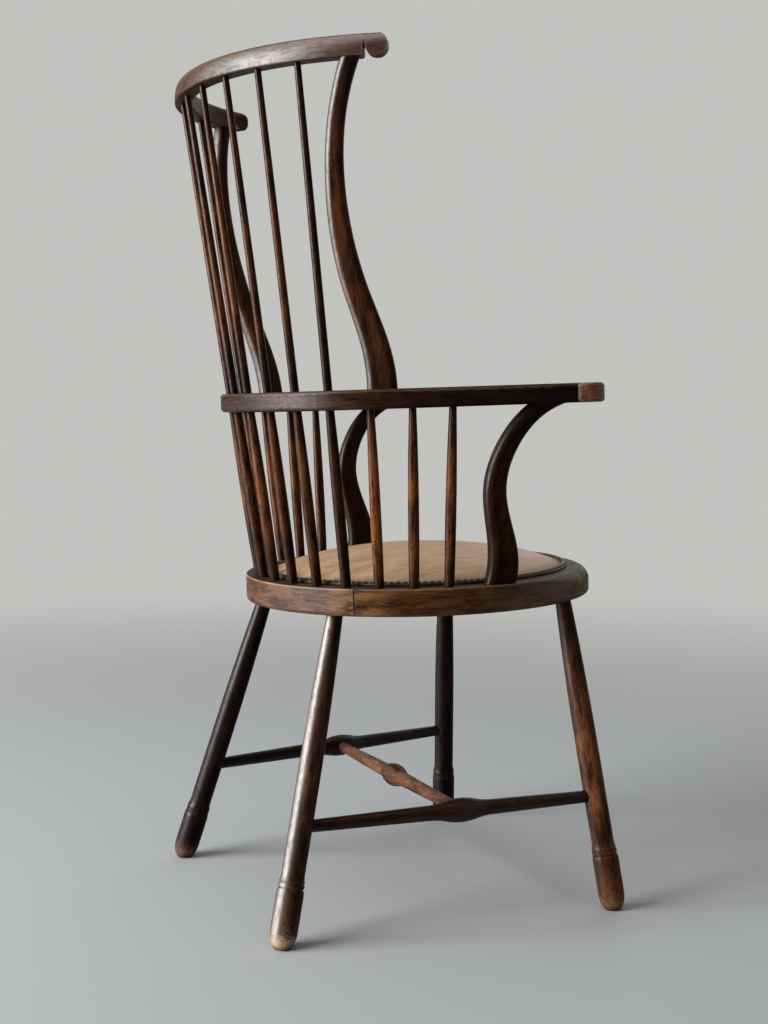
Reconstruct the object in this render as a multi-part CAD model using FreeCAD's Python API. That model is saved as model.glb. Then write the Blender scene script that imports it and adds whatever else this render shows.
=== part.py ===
import FreeCAD, Part
import math
import os
from FreeCAD import Placement, Rotation, Vector

# Round-seated armchair with a spindle back, in millimetres and degrees.
# The seat centre is over the frame's working origin, +Z is up and the chair faces -Y.
# Left is the sitter's left, at +X. Angles round the seat are counted from the rear towards +X.

# Seat ring, four curved rails butted and dowelled
seat_height = 450.0
seat_slope = 1.6
ring_outer_radius = 246.5
ring_thickness = 36.5
ring_crisp_edge = 2.0
ring_rolled_edge = 18.0
ring_lower_edge = 5.0
ring_joint_angle = 45.0
ring_roll_lead = 11.4
dowel_diameter = 8.0
dowel_length = 30.0
dowel_inset = 19.0
dowel_gap = 4.0

# Round seat pad: webbing, hessian, stuffing, leather, banding and nails
rebate_width = 18.0
webbing_width = 52.0
webbing_thickness = 2.0
webbing_corner_gap = 17.5
webbing_strap_count = 3
hessian_thickness = 1.0
pad_lap = 1.0
pad_crown = 35.0
pad_edge_height = 5.0
pad_shoulder_radius = 122.0
pad_shoulder_drop = 7.5
leather_margin = 30.0
leather_thickness = 2.0
leather_flange = 10.5
banding_thickness = 1.5
nail_head_diameter = 8.2
nail_head_height = 3.0
nail_gap = 0.7
nail_shank_diameter = 1.6
nail_shank_length = 14.0

# Turned legs
leg_circle_inset = 20.9
rear_leg_offset = 9.3
front_leg_offset = 8.0
rear_foot_out = 214.5
rear_foot_back = 290.7
front_foot_out = 259.0
front_foot_forward = 173.9
leg_foot_diameter = 35.6
leg_band_diameter = 33.8
leg_shaft_diameter = 30.4
leg_top_diameter = 21.6
leg_tenon_length = 20.0
leg_toe_overrun = 2.8
leg_toe_height = 26.0
leg_band_height = 78.5
leg_band_width = 7.0
leg_groove_width = 2.4
leg_groove_depth = 1.3
leg_shoulder_height = 6.0
leg_flare_height = 10.0
leg_flare_share = 0.35
leg_taper_start = 205.0

# Turned stretchers, an H of two side pieces and one across
side_stretcher_rear_height = 144.0
side_stretcher_front_height = 151.5
stretcher_end_diameter = 16.4
stretcher_neck_diameter = 20.2
stretcher_bulge_diameter = 32.0
side_bulge_half_length = 44.0
cross_bulge_half_length = 34.0
cross_place_share = 0.527
cross_end_diameter = 15.0

# Comb rail
comb_height = 1106.0
comb_slope = 1.24
comb_setback = 20.0
comb_radius = 309.8
comb_thickness = 24.6
comb_depth = 28.0
comb_scroll_angle = 58.7
comb_outer_roll_share = 0.62
comb_outer_drop_share = 0.84
comb_inner_roll_share = 0.325
comb_lower_edge = 1.5
comb_notch_clear = 1.6
comb_notch_drop = 1.0
comb_notch_round = 4.0
comb_groove_width = 1.4
comb_groove_depth = 1.6
comb_groove_reach = 18.5

# Bent arm bow and its glued hand-hold blocks
arm_height = 708.4
arm_slope = 2.0
arm_width = 32.0
arm_thickness = 25.5
arm_shoulder_start = 38.0
arm_shoulder_end = 65.5
arm_shoulder_radius = 158.0
arm_run_radius = 640.0
arm_front_reach = 137.0
arm_edge_radius = 5.0
arm_end_radius = 9.0
hand_hold_length = 40.0
hand_hold_bulge = 13.0

# Spindles
spindle_gap = 4.5
spindle_middle_angle = 5.9
spindle_step = 11.55
long_spindle_count = 4
short_spindle_count = 3
comb_middle_angle = 6.2
comb_step = 11.2
short_tip_rear_angle = 51.0
short_tip_step = 12.0
spindle_foot_diameter = 13.2
spindle_belly_diameter = 15.2
spindle_belly_height = 108.0
spindle_arm_diameter = 11.6
spindle_upper_diameter = 10.2
spindle_upper_share = 0.6
spindle_tip_diameter = 8.6
spindle_foot_tenon = 15.0
spindle_tip_tenon = 15.0
short_belly_diameter = 14.6
short_belly_height = 84.0
short_tip_diameter = 9.8
short_tip_tenon = 12.0

# Sawn S-shaped uprights between arm and comb
upright_foot_angle = 54.5
upright_scroll_gap = 5.6
upright_thickness = 22.0
upright_foot_width = 39.0
upright_ankle_width = 37.0
upright_knee_width = 33.0
upright_waist_width = 25.0
upright_top_width = 24.5
upright_ankle_share = 0.13
upright_ankle_back = 8.0
upright_knee_share = 0.32
upright_knee_back = 34.5
upright_waist_share = 0.62
upright_waist_back = 58.0
upright_edge_radius = 9.5
upright_tenon_diameter = 13.0
upright_tenon_length = 12.0

# Sawn swan-neck arm supports between seat and arm
support_spacing_angle = 17.4
support_top_angle = 103.0
support_thickness = 22.0
support_gap = 3.0
support_foot_width = 44.0
support_ankle_width = 41.0
support_neck_width = 30.0
support_throat_width = 30.0
support_top_width = 48.0
support_ankle_share = 0.17
support_ankle_forward = 2.0
support_neck_share = 0.55
support_neck_back = 16.0
support_throat_share = 0.79
support_throat_forward = 0.5
support_edge_radius = 9.5
support_tenon_diameter = 16.0
support_tenon_length = 14.0

# Fits and tool allowances
fit_clearance = 0.1
joint_margin = 3.0
trim_allowance = 30.0
match_tolerance = 0.1

# Radii and angles that follow from the sizes above, the leather's edge first
leather_radius = ring_outer_radius - leather_margin
pad_radius = leather_radius - leather_flange - leather_thickness
rebate_radius = pad_radius - pad_lap
ring_inner_radius = rebate_radius - rebate_width
nail_circle = leather_radius - leather_flange / 2
banding_top = leather_thickness + banding_thickness
dowel_drop = spindle_foot_tenon + dowel_gap + dowel_diameter / 2
leg_circle = ring_outer_radius - leg_circle_inset
rear_leg_angle = ring_joint_angle - rear_leg_offset
front_leg_angle = 180 - ring_joint_angle - front_leg_offset
spindle_circle = leather_radius + spindle_gap + spindle_foot_diameter / 2
spindle_rows = long_spindle_count + short_spindle_count
support_circle = leather_radius + support_gap + support_thickness / 2
support_foot_angle = spindle_middle_angle + (spindle_rows - 1) * spindle_step + support_spacing_angle
ring_roll_start = support_foot_angle + ring_roll_lead
comb_outer_roll = comb_thickness * comb_outer_roll_share
comb_outer_drop = comb_depth * comb_outer_drop_share
comb_inner_roll = comb_thickness * comb_inner_roll_share
upright_scroll_reach = comb_depth / 2 + comb_notch_clear + upright_scroll_gap + upright_top_width / 2
upright_top_angle = comb_scroll_angle - math.degrees(upright_scroll_reach / comb_radius)

up = Vector(0, 0, 1)
across = Vector(1, 0, 0)
origin = Vector(0, 0, 0)

# Local planes: the ring's top, the arm's top and the comb's underside
seat_place = Placement(Vector(0, 0, seat_height), Rotation(across, -seat_slope))
arm_place = Placement(Vector(0, 0, arm_height), Rotation(across, -arm_slope))
comb_place = Placement(Vector(0, comb_setback, comb_height), Rotation(across, -comb_slope))

# The finished part stands on z = 0 with its bounding box centred in plan
rear_reach = comb_setback + comb_radius + comb_thickness / 2
centre_shift = Vector(0, (ring_outer_radius - rear_reach) / 2, 0)


def polar(radius, angle, height=0.0):
    turn = math.radians(angle)
    return Vector(radius * math.sin(turn), radius * math.cos(turn), height)


def heading(angle):
    turn = math.radians(angle)
    return Vector(math.cos(turn), -math.sin(turn), 0)


def mirrored(shape):
    return shape.mirror(origin, across)


def save(name, shape):
    placed = shape.copy()
    placed.translate(centre_shift)
    placed.exportStep(os.path.join("parts", name + ".step"))


def line(first, second):
    return Part.makeLine(first, second)


def smooth(points):
    curve = Part.BSplineCurve()
    curve.interpolate(points)
    return curve.toShape()


def polyline(points):
    return [line(first, second) for first, second in zip(points, points[1:])]


def tangent_arc(start, direction, end):
    # Arc that leaves start along direction and reaches end, in the XZ plane
    chord = end - start
    normal = Vector(-direction.z, 0, direction.x)
    radius = chord.dot(chord) / (2 * normal.dot(chord))
    centre = start + normal * radius
    middle = (start + end) * 0.5 - centre
    middle.normalize()
    return Part.Arc(start, centre + middle * abs(radius), end).toShape()


def lathe(base, direction, edges, low, high):
    # Solid of revolution: the edges run in (radius, 0, distance) between two points of the axis
    closing = line(Vector(0, 0, high), Vector(0, 0, low))
    wire = Part.Wire(Part.__sortEdges__(edges + [closing]))
    solid = Part.Face(wire).revolve(origin, up, 360)
    solid.Placement = Placement(base, Rotation(up, direction))
    return solid


def rod(start, end, diameter):
    return Part.makeCylinder(diameter / 2, (end - start).Length, start, end - start)


def extended(start, end, distance):
    step = end - start
    step.normalize()
    return end + step * distance


def socket(mouth, bottom, diameter):
    # Drilled hole for a round tenon, started outside the mouth so that it breaks the surface
    outside = extended(bottom, mouth, trim_allowance)
    return rod(outside, bottom, diameter + 2 * fit_clearance)


def both_sides(shapes):
    return shapes + [mirrored(shape) for shape in shapes]


def half_space(place, height, side):
    # Large block above or below a local plane, for cutting pieces flush with it
    size = 4 * ring_outer_radius
    low = height if side > 0 else height - size
    block = Part.makeBox(size, size, size, Vector(-size / 2, -size / 2, low))
    block.Placement = place
    return block


def crossing(start, end, place, height):
    # Where the straight line from start to end meets a local plane
    inverse = place.inverse()
    first = inverse.multVec(start)
    last = inverse.multVec(end)
    share = (height - first.z) / (last.z - first.z)
    return start + (end - start) * share


# Arm bow centre line: a back arc in line with the fan of spindles, two shoulders, two side runs
spindle_foot_rear = seat_place.multVec(polar(spindle_circle, 0))
spindle_tip_rear = comb_place.multVec(polar(comb_radius, 0))
arm_back_point = crossing(spindle_foot_rear, spindle_tip_rear, arm_place, -arm_thickness / 2)
arm_share = (arm_back_point.z - spindle_foot_rear.z) / (spindle_tip_rear.z - spindle_foot_rear.z)
arm_back_radius = spindle_circle + (comb_radius - spindle_circle) * arm_share
arm_centre = Vector(0, comb_setback * arm_share, 0)
shoulder_centre = arm_centre + polar(arm_back_radius - arm_shoulder_radius, arm_shoulder_start)
run_centre = shoulder_centre + polar(arm_shoulder_radius - arm_run_radius, arm_shoulder_end)
arm_end = math.degrees(math.acos((-arm_front_reach - run_centre.y) / arm_run_radius))
arm_arcs = [
    (arm_centre, arm_back_radius, 0.0, arm_shoulder_start),
    (shoulder_centre, arm_shoulder_radius, arm_shoulder_start, arm_shoulder_end),
    (run_centre, arm_run_radius, arm_shoulder_end, arm_end),
]


def arm_point(angle, height):
    # Point of the arm's centre line that the seat centre sees at an angle, and the line's turn there
    ray = polar(1, angle)
    for centre, radius, first, last in arm_arcs:
        along = ray.dot(centre)
        reach = along + math.sqrt(along * along + radius * radius - centre.dot(centre))
        spoke = ray * reach - centre
        turn = math.degrees(math.atan2(spoke.x, spoke.y))
        if turn <= last:
            break
    place = ray * reach
    return arm_place.multVec(Vector(place.x, place.y, height)), turn


def arm_side_edges(offset):
    # One side's edges at an offset from the centre line, from the rear shoulder to the front end
    edges = []
    for centre, radius, first, last in arm_arcs[1:]:
        turns = (first, (first + last) / 2, last)
        edges.append(Part.Arc(*[centre + polar(radius + offset, turn) for turn in turns]).toShape())
    return edges


def arm_plan():
    edges = []
    for offset in (-arm_width / 2, arm_width / 2):
        turns = (-arm_shoulder_start, 0, arm_shoulder_start)
        spots = [arm_centre + polar(arm_back_radius + offset, turn) for turn in turns]
        edges.append(Part.Arc(*spots).toShape())
        edges += both_sides(arm_side_edges(offset))
    inner_tip = run_centre + polar(arm_run_radius - arm_width / 2, arm_end)
    outer_tip = run_centre + polar(arm_run_radius + arm_width / 2, arm_end)
    edges += both_sides([line(inner_tip, outer_tip)])
    return Part.Face(Part.Wire(Part.__sortEdges__(edges)))


def hand_hold_plan():
    # Outward bulge on the arm's outer face, next to its front end
    face_radius = arm_run_radius + arm_width / 2
    start_turn = arm_end - math.degrees(hand_hold_length / face_radius)
    middle_turn = (start_turn + arm_end) / 2
    start = run_centre + polar(face_radius, start_turn)
    middle = run_centre + polar(face_radius, middle_turn)
    bulge = run_centre + polar(face_radius + hand_hold_bulge, middle_turn)
    end = run_centre + polar(face_radius, arm_end)
    edges = [Part.Arc(start, bulge, end).toShape(), Part.Arc(end, middle, start).toShape()]
    return Part.Face(Part.Wire(edges))


def is_upright(edge):
    box = edge.BoundBox
    return box.XLength < match_tolerance and box.YLength < match_tolerance


def is_level(edge):
    return edge.BoundBox.ZLength < match_tolerance


# Spindle axes on the left, from the rear to the front
long_axes = []
short_axes = []
for row in range(spindle_rows):
    row_foot = seat_place.multVec(polar(spindle_circle, spindle_middle_angle + row * spindle_step))
    short_row = row - long_spindle_count
    if short_row < 0:
        comb_angle = comb_middle_angle + row * comb_step
        long_axes.append((row_foot, comb_place.multVec(polar(comb_radius, comb_angle))))
    else:
        arm_angle = short_tip_rear_angle + short_row * short_tip_step
        short_axes.append((row_foot, arm_point(arm_angle, -arm_thickness)[0]))


def spindle(foot, tip, body, tip_diameter, tip_tenon):
    # The body's edges run between the two plain round ends
    length = (tip - foot).Length
    foot_radius = spindle_foot_diameter / 2
    tip_radius = tip_diameter / 2
    edges = polyline([
        Vector(0, 0, -spindle_foot_tenon),
        Vector(foot_radius, 0, -spindle_foot_tenon),
        Vector(foot_radius, 0, joint_margin),
    ])
    edges += body
    edges += polyline([
        Vector(tip_radius, 0, length - joint_margin),
        Vector(tip_radius, 0, length + tip_tenon),
        Vector(0, 0, length + tip_tenon),
    ])
    return lathe(foot, tip - foot, edges, -spindle_foot_tenon, length + tip_tenon)


def long_spindle(foot, tip):
    length = (tip - foot).Length
    low = (crossing(foot, tip, arm_place, -arm_thickness) - foot).Length - joint_margin
    high = (crossing(foot, tip, arm_place, 0) - foot).Length + joint_margin
    middle = high + (length - high) * spindle_upper_share
    arm_low = Vector(spindle_arm_diameter / 2, 0, low)
    arm_high = Vector(spindle_arm_diameter / 2, 0, high)
    belly = smooth([
        Vector(spindle_foot_diameter / 2, 0, joint_margin),
        Vector(spindle_belly_diameter / 2, 0, spindle_belly_height),
        arm_low,
    ])
    upper = smooth([
        arm_high,
        Vector(spindle_upper_diameter / 2, 0, middle),
        Vector(spindle_tip_diameter / 2, 0, length - joint_margin),
    ])
    body = [belly, line(arm_low, arm_high), upper]
    return spindle(foot, tip, body, spindle_tip_diameter, spindle_tip_tenon)


def short_spindle(foot, tip):
    length = (tip - foot).Length
    belly = smooth([
        Vector(spindle_foot_diameter / 2, 0, joint_margin),
        Vector(short_belly_diameter / 2, 0, short_belly_height),
        Vector(short_tip_diameter / 2, 0, length - joint_margin),
    ])
    return spindle(foot, tip, [belly], short_tip_diameter, short_tip_tenon)


# Leg axes on the left, from the floor to the ring's underside
rear_leg_axis = (
    Vector(rear_foot_out, rear_foot_back, 0),
    seat_place.multVec(polar(leg_circle, rear_leg_angle, -ring_thickness)),
)
front_leg_axis = (
    Vector(front_foot_out, -front_foot_forward, 0),
    seat_place.multVec(polar(leg_circle, front_leg_angle, -ring_thickness)),
)


def leg_groove(height, radius):
    half = leg_groove_width / 2
    return Part.Arc(
        Vector(radius, 0, height - half),
        Vector(radius - leg_groove_depth, 0, height),
        Vector(radius, 0, height + half),
    ).toShape()


def leg(foot, top):
    length = (top - foot).Length
    foot_radius = leg_foot_diameter / 2
    shaft_radius = leg_shaft_diameter / 2
    top_radius = leg_top_diameter / 2
    band_radius = leg_band_diameter / 2
    low_groove = leg_band_height - leg_band_width / 2
    high_groove = leg_band_height + leg_band_width / 2
    half = leg_groove_width / 2
    taper_low = Vector(shaft_radius, 0, leg_taper_start)
    taper_high = Vector(top_radius, 0, length - 2 * joint_margin)
    toe = Part.BezierCurve()
    toe.setPoles([
        Vector(0, 0, -leg_toe_overrun),
        Vector(foot_radius, 0, -leg_toe_overrun),
        Vector(foot_radius, 0, leg_toe_height),
    ])
    edges = [toe.toShape()]
    shoulder = Vector(foot_radius, 0, low_groove - half - leg_shoulder_height)
    edges.append(line(Vector(foot_radius, 0, leg_toe_height), shoulder))
    edges.append(tangent_arc(shoulder, up, Vector(band_radius, 0, low_groove - half)))
    edges.append(leg_groove(low_groove, band_radius))
    edges.append(line(Vector(band_radius, 0, low_groove + half), Vector(band_radius, 0, high_groove - half)))
    edges.append(leg_groove(high_groove, band_radius))
    flare_base = high_groove + half
    flare_top = Vector(shaft_radius, 0, flare_base + leg_flare_height)
    flare = Part.BezierCurve()
    flare.setPoles([
        Vector(band_radius, 0, flare_base),
        Vector(shaft_radius, 0, flare_base + leg_flare_height * leg_flare_share),
        flare_top,
    ])
    edges.append(flare.toShape())
    edges.append(line(flare_top, taper_low))
    edges.append(tangent_arc(taper_low, up, taper_high))
    edges += polyline([
        taper_high,
        Vector(top_radius, 0, length + leg_tenon_length),
        Vector(0, 0, length + leg_tenon_length),
    ])
    return lathe(foot, top - foot, edges, -leg_toe_overrun, length + leg_tenon_length)


def axis_at_height(axis, height):
    foot, top = axis
    return foot + (top - foot) * (height / top.z)


# Stretcher axes: the tenons end on the axes of what they enter
side_rear = axis_at_height(rear_leg_axis, side_stretcher_rear_height)
side_front = axis_at_height(front_leg_axis, side_stretcher_front_height)
cross_left = side_rear + (side_front - side_rear) * cross_place_share
cross_right = Vector(-cross_left.x, cross_left.y, cross_left.z)


def bulge_edges(neck, crown):
    # An S of two arcs, level with the axis at the neck and at the crown
    along = Vector(0, 0, math.copysign(1, crown.z - neck.z))
    middle = (neck + crown) * 0.5
    return [tangent_arc(neck, along, middle), tangent_arc(crown, along * -1, middle)]


def stretcher(start, end, bulge_at, half_length, end_diameter, bore_depth):
    length = (end - start).Length
    end_radius = end_diameter / 2
    low_neck = Vector(stretcher_neck_diameter / 2, 0, bulge_at - half_length)
    high_neck = Vector(stretcher_neck_diameter / 2, 0, bulge_at + half_length)
    crown = Vector(stretcher_bulge_diameter / 2, 0, bulge_at)
    edges = polyline([
        Vector(0, 0, 0),
        Vector(end_radius, 0, 0),
        Vector(end_radius, 0, bore_depth),
        low_neck,
    ])
    edges += bulge_edges(low_neck, crown) + bulge_edges(high_neck, crown)
    edges += polyline([
        high_neck,
        Vector(end_radius, 0, length - bore_depth),
        Vector(end_radius, 0, length),
        Vector(0, 0, length),
    ])
    return lathe(start, end - start, edges, 0, length)


def sawn_piece(foot, top, forward, stations, thickness, edge_radius):
    # Flat sawn piece in the plane of its foot, its top and the forward direction.
    # Each station is (height share, forward offset of the middle, width), foot first and top last
    rise = top - foot
    lean = rise.dot(forward)
    upward = rise - forward * lean
    height = upward.Length
    upward.normalize()
    sideways = forward.cross(upward)
    outlines = []
    for side in (-0.5, 0.5):
        points = [
            foot + forward * (middle + side * width) + upward * (share * height)
            for share, middle, width in stations
        ]
        curve = Part.BSplineCurve()
        curve.interpolate(points)
        low = points[0] - curve.tangent(curve.FirstParameter)[0] * trim_allowance
        high = points[-1] + curve.tangent(curve.LastParameter)[0] * trim_allowance
        outlines.append([line(low, points[0]), curve.toShape(), line(points[-1], high)])
    rear, front = outlines
    ends = [
        line(rear[0].Vertexes[0].Point, front[0].Vertexes[0].Point),
        line(rear[-1].Vertexes[-1].Point, front[-1].Vertexes[-1].Point),
    ]
    face = Part.Face(Part.Wire(Part.__sortEdges__(rear + front + ends)))
    face.translate(sideways * (-thickness / 2))
    solid = face.extrude(sideways * thickness)
    long_edges = [edge for edge in solid.Edges if edge.Curve.TypeId == "Part::GeomBSplineCurve"]
    return solid.makeFillet(edge_radius, long_edges)


def along_normal(point, place, distance):
    return point + place.Rotation.multVec(up) * distance


# Where the sawn pieces stand and what they carry, on the left
upright_foot, upright_turn = arm_point(upright_foot_angle, 0)
upright_foot_end = along_normal(upright_foot, arm_place, -upright_tenon_length)
upright_top = comb_place.multVec(polar(comb_radius, upright_top_angle))
upright_top_end = along_normal(upright_top, comb_place, upright_tenon_length)
support_foot = seat_place.multVec(polar(support_circle, support_foot_angle))
support_foot_end = along_normal(support_foot, seat_place, -support_tenon_length)
support_top, support_turn = arm_point(support_top_angle, -arm_thickness)
support_top_end = along_normal(support_top, arm_place, support_tenon_length)


def upright():
    forward = heading(upright_turn)
    lean = (upright_top - upright_foot).dot(forward)
    stations = [
        (0, 0, upright_foot_width),
        (upright_ankle_share, -upright_ankle_back, upright_ankle_width),
        (upright_knee_share, -upright_knee_back, upright_knee_width),
        (upright_waist_share, -upright_waist_back, upright_waist_width),
        (1, lean, upright_top_width),
    ]
    solid = sawn_piece(
        upright_foot, upright_top, forward, stations, upright_thickness, upright_edge_radius)
    solid = solid.cut([half_space(arm_place, 0, -1), half_space(comb_place, 0, 1)])
    return solid.fuse([
        rod(upright_foot, upright_foot_end, upright_tenon_diameter),
        rod(upright_top, upright_top_end, upright_tenon_diameter),
    ])


def arm_support():
    forward = heading((support_foot_angle + support_turn) / 2)
    lean = (support_top - support_foot).dot(forward)
    stations = [
        (0, 0, support_foot_width),
        (support_ankle_share, support_ankle_forward, support_ankle_width),
        (support_neck_share, -support_neck_back, support_neck_width),
        (support_throat_share, support_throat_forward, support_throat_width),
        (1, lean, support_top_width),
    ]
    solid = sawn_piece(
        support_foot, support_top, forward, stations, support_thickness, support_edge_radius)
    solid = solid.cut([half_space(seat_place, 0, -1), half_space(arm_place, -arm_thickness, 1)])
    return solid.fuse([
        rod(support_foot, support_foot_end, support_tenon_diameter),
        rod(support_top, support_top_end, support_tenon_diameter),
    ])


def ring_span(first, last, rebate_depth, top_edge):
    # Curved length of rail between two angles, with its rebate and rounded edges
    low = -ring_thickness
    outer = ring_outer_radius
    corner = math.sqrt(0.5)
    edges = polyline([
        Vector(outer - top_edge, 0, 0),
        Vector(rebate_radius, 0, 0),
        Vector(rebate_radius, 0, -rebate_depth),
        Vector(ring_inner_radius, 0, -rebate_depth),
        Vector(ring_inner_radius, 0, low),
        Vector(outer - ring_lower_edge, 0, low),
    ])
    edges.append(Part.Arc(
        Vector(outer - ring_lower_edge, 0, low),
        Vector(outer - ring_lower_edge * (1 - corner), 0, low + ring_lower_edge * (1 - corner)),
        Vector(outer, 0, low + ring_lower_edge),
    ).toShape())
    edges.append(line(Vector(outer, 0, low + ring_lower_edge), Vector(outer, 0, -top_edge)))
    if top_edge > 0:
        edges.append(Part.Arc(
            Vector(outer, 0, -top_edge),
            Vector(outer - top_edge * (1 - corner), 0, -top_edge * (1 - corner)),
            Vector(outer - top_edge, 0, 0),
        ).toShape())
    face = Part.Face(Part.Wire(edges))
    face.rotate(origin, up, 90 - last)
    return face.revolve(origin, up, last - first)


def is_top_rim(edge):
    inmost = min(vertex.Point.Length for vertex in edge.Vertexes)
    on_top = is_level(edge) and edge.BoundBox.ZMax > -match_tolerance
    return on_top and inmost > rebate_radius + match_tolerance


def side_rail():
    # Its top edge is crisp at the rear and rolls over towards the front
    depth = 2 * webbing_thickness
    crisp = ring_span(ring_joint_angle, ring_roll_start, depth, ring_crisp_edge)
    square = ring_span(ring_roll_start, 180 - ring_joint_angle, depth, 0)
    rims = [edge for edge in square.Edges if is_top_rim(edge)]
    rolled = square.makeFillet(ring_rolled_edge, ring_crisp_edge, rims)
    return crisp.fuse(rolled).removeSplitter()


def dowels():
    shapes = []
    for quarter in range(4):
        angle = ring_joint_angle + 90 * quarter
        half = heading(angle) * (dowel_length / 2)
        for radius in (ring_inner_radius + dowel_inset, ring_outer_radius - dowel_inset):
            centre = polar(radius, angle, -dowel_drop)
            shapes.append((centre - half, centre + half))
    return shapes


def nail():
    head = nail_head_diameter / 2
    shank = nail_shank_diameter / 2
    edges = polyline([
        Vector(0, 0, -nail_shank_length),
        Vector(shank, 0, -nail_shank_length),
        Vector(shank, 0, 0),
        Vector(head, 0, 0),
    ])
    edges.append(tangent_arc(Vector(0, 0, nail_head_height), across, Vector(head, 0, 0)))
    return lathe(origin, up, edges, -nail_shank_length, nail_head_height)


def pad_edges(radius, drop):
    # Crown and shoulder of the pad's section, out to a radius, lowered by the cover's thickness
    crown = Vector(0, 0, pad_crown - drop)
    shoulder = Vector(pad_shoulder_radius, 0, pad_crown - pad_shoulder_drop - drop)
    edge = Vector(radius, 0, pad_edge_height - drop)
    slope = 2 * math.atan(pad_shoulder_drop / pad_shoulder_radius)
    falling = Vector(math.cos(slope), 0, -math.sin(slope))
    return [tangent_arc(crown, across, shoulder), tangent_arc(shoulder, falling, edge)]


def leather():
    wall = pad_radius + leather_thickness
    edges = pad_edges(wall, 0)
    edges += polyline([
        Vector(wall, 0, pad_edge_height),
        Vector(wall, 0, leather_thickness),
        Vector(leather_radius, 0, leather_thickness),
        Vector(leather_radius, 0, 0),
        Vector(pad_radius, 0, 0),
        Vector(pad_radius, 0, pad_edge_height - leather_thickness),
    ])
    edges += pad_edges(pad_radius, leather_thickness)
    return lathe(origin, up, edges, pad_crown - leather_thickness, pad_crown)


def stuffing():
    edges = polyline([
        Vector(0, 0, hessian_thickness),
        Vector(pad_radius, 0, hessian_thickness),
        Vector(pad_radius, 0, pad_edge_height - leather_thickness),
    ])
    edges += pad_edges(pad_radius, leather_thickness)
    return lathe(origin, up, edges, hessian_thickness, pad_crown - leather_thickness)


def webbing(along, level):
    # Parallel straps trimmed to the rebate, running along X or along Y
    reach = rebate_radius - fit_clearance
    outer_edge = rebate_radius * math.sin(math.radians(ring_joint_angle)) - webbing_corner_gap
    spacing = (2 * outer_edge - webbing_width) / (webbing_strap_count - 1)
    disc = Part.makeCylinder(reach, webbing_thickness, Vector(0, 0, level))
    straps = []
    for strap in range(webbing_strap_count):
        corner = Vector(-reach, strap * spacing - outer_edge, level)
        box = Part.makeBox(2 * reach, webbing_width, webbing_thickness, corner)
        if along == "y":
            box.rotate(origin, up, 90)
        straps.append(box.common(disc))
    return Part.makeCompound(straps)


def comb_section(inset):
    # The rail's section, or the same section drawn in by an inset
    inner = comb_radius - comb_thickness / 2 + inset
    outer = comb_radius + comb_thickness / 2 - inset
    low = inset
    top = comb_depth - inset
    outer_start = comb_radius + comb_thickness / 2 - comb_outer_roll
    inner_roll = comb_inner_roll - inset
    drop = comb_outer_drop - 2 * inset
    corner = 1 - math.sqrt(0.5)

    def round_corner(x, z, radius, x_side, z_side):
        return Part.Arc(
            Vector(x - x_side * radius, 0, z),
            Vector(x - x_side * radius * corner, 0, z - z_side * radius * corner),
            Vector(x, 0, z - z_side * radius),
        ).toShape()

    outer_roll = Part.BezierCurve()
    outer_roll.setPoles([
        Vector(outer_start, 0, top),
        Vector(outer, 0, top),
        Vector(outer, 0, top - drop),
    ])
    edges = [
        outer_roll.toShape(),
        round_corner(inner, top, inner_roll, -1, 1),
        round_corner(outer, low, comb_lower_edge, 1, -1),
        round_corner(inner, low, comb_lower_edge, -1, -1),
        line(Vector(inner + inner_roll, 0, top), Vector(outer_start, 0, top)),
        line(Vector(outer, 0, top - drop), Vector(outer, 0, low + comb_lower_edge)),
        line(Vector(outer - comb_lower_edge, 0, low), Vector(inner + comb_lower_edge, 0, low)),
        line(Vector(inner, 0, low + comb_lower_edge), Vector(inner, 0, top - inner_roll)),
    ]
    return Part.Face(Part.Wire(Part.__sortEdges__(edges)))


def comb_bar(x, z, radius):
    # Cylinder through the rail's end, across its thickness
    near = comb_radius - comb_thickness
    return Part.makeCylinder(radius, 2 * comb_thickness, Vector(x, near, z), Vector(0, 1, 0))


def comb_block(low_x, high_x, low_z, high_z):
    # Block through the rail's end, across its thickness
    near = comb_radius - comb_thickness
    return Part.makeBox(high_x - low_x, 2 * comb_thickness, high_z - low_z, Vector(low_x, near, low_z))


def comb_scroll_cutter(rail, core):
    # What is carved away at the left end: outside the round scroll, the rounded notch under it,
    # and a shallow groove in the rail's skin that sets the scroll off
    scroll = comb_depth / 2
    notch_side = -scroll - comb_notch_clear
    corner = notch_side - comb_notch_round
    roll = comb_bar(0, scroll, scroll)
    end_block = comb_block(0, comb_depth, -scroll, comb_depth + scroll)
    notch = comb_block(notch_side, 0, -scroll, scroll - comb_notch_drop)
    rounding = comb_block(corner, notch_side, 0, comb_notch_round)
    rounding = rounding.cut(comb_bar(corner, comb_notch_round, comb_notch_round))
    carving = end_block.fuse([notch]).cut(roll).fuse([rounding])
    groove = comb_bar(0, scroll, scroll + comb_groove_width).cut(roll)
    groove = groove.common(comb_block(-comb_depth, 0, 0, comb_groove_reach))
    for cutter in (carving, groove):
        cutter.rotate(origin, up, -comb_scroll_angle)
    skin = groove.common(rail).cut(core)
    return [carving, skin]


def comb_rail():
    end_angle = comb_scroll_angle + math.degrees(comb_depth / 2 / comb_radius)
    section = comb_section(0)
    inside = comb_section(comb_groove_depth)
    for face in (section, inside):
        face.rotate(origin, up, 90 - end_angle)
    rail = section.revolve(origin, up, 2 * end_angle)
    core = inside.revolve(origin, up, 2 * end_angle)
    rail = rail.cut(both_sides(comb_scroll_cutter(rail, core)))
    rail.Placement = comb_place
    holes = [socket(tip, extended(foot, tip, spindle_tip_tenon), spindle_tip_diameter)
             for foot, tip in long_axes]
    holes.append(socket(upright_top, upright_top_end, upright_tenon_diameter))
    return rail.cut(both_sides(holes))


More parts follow.
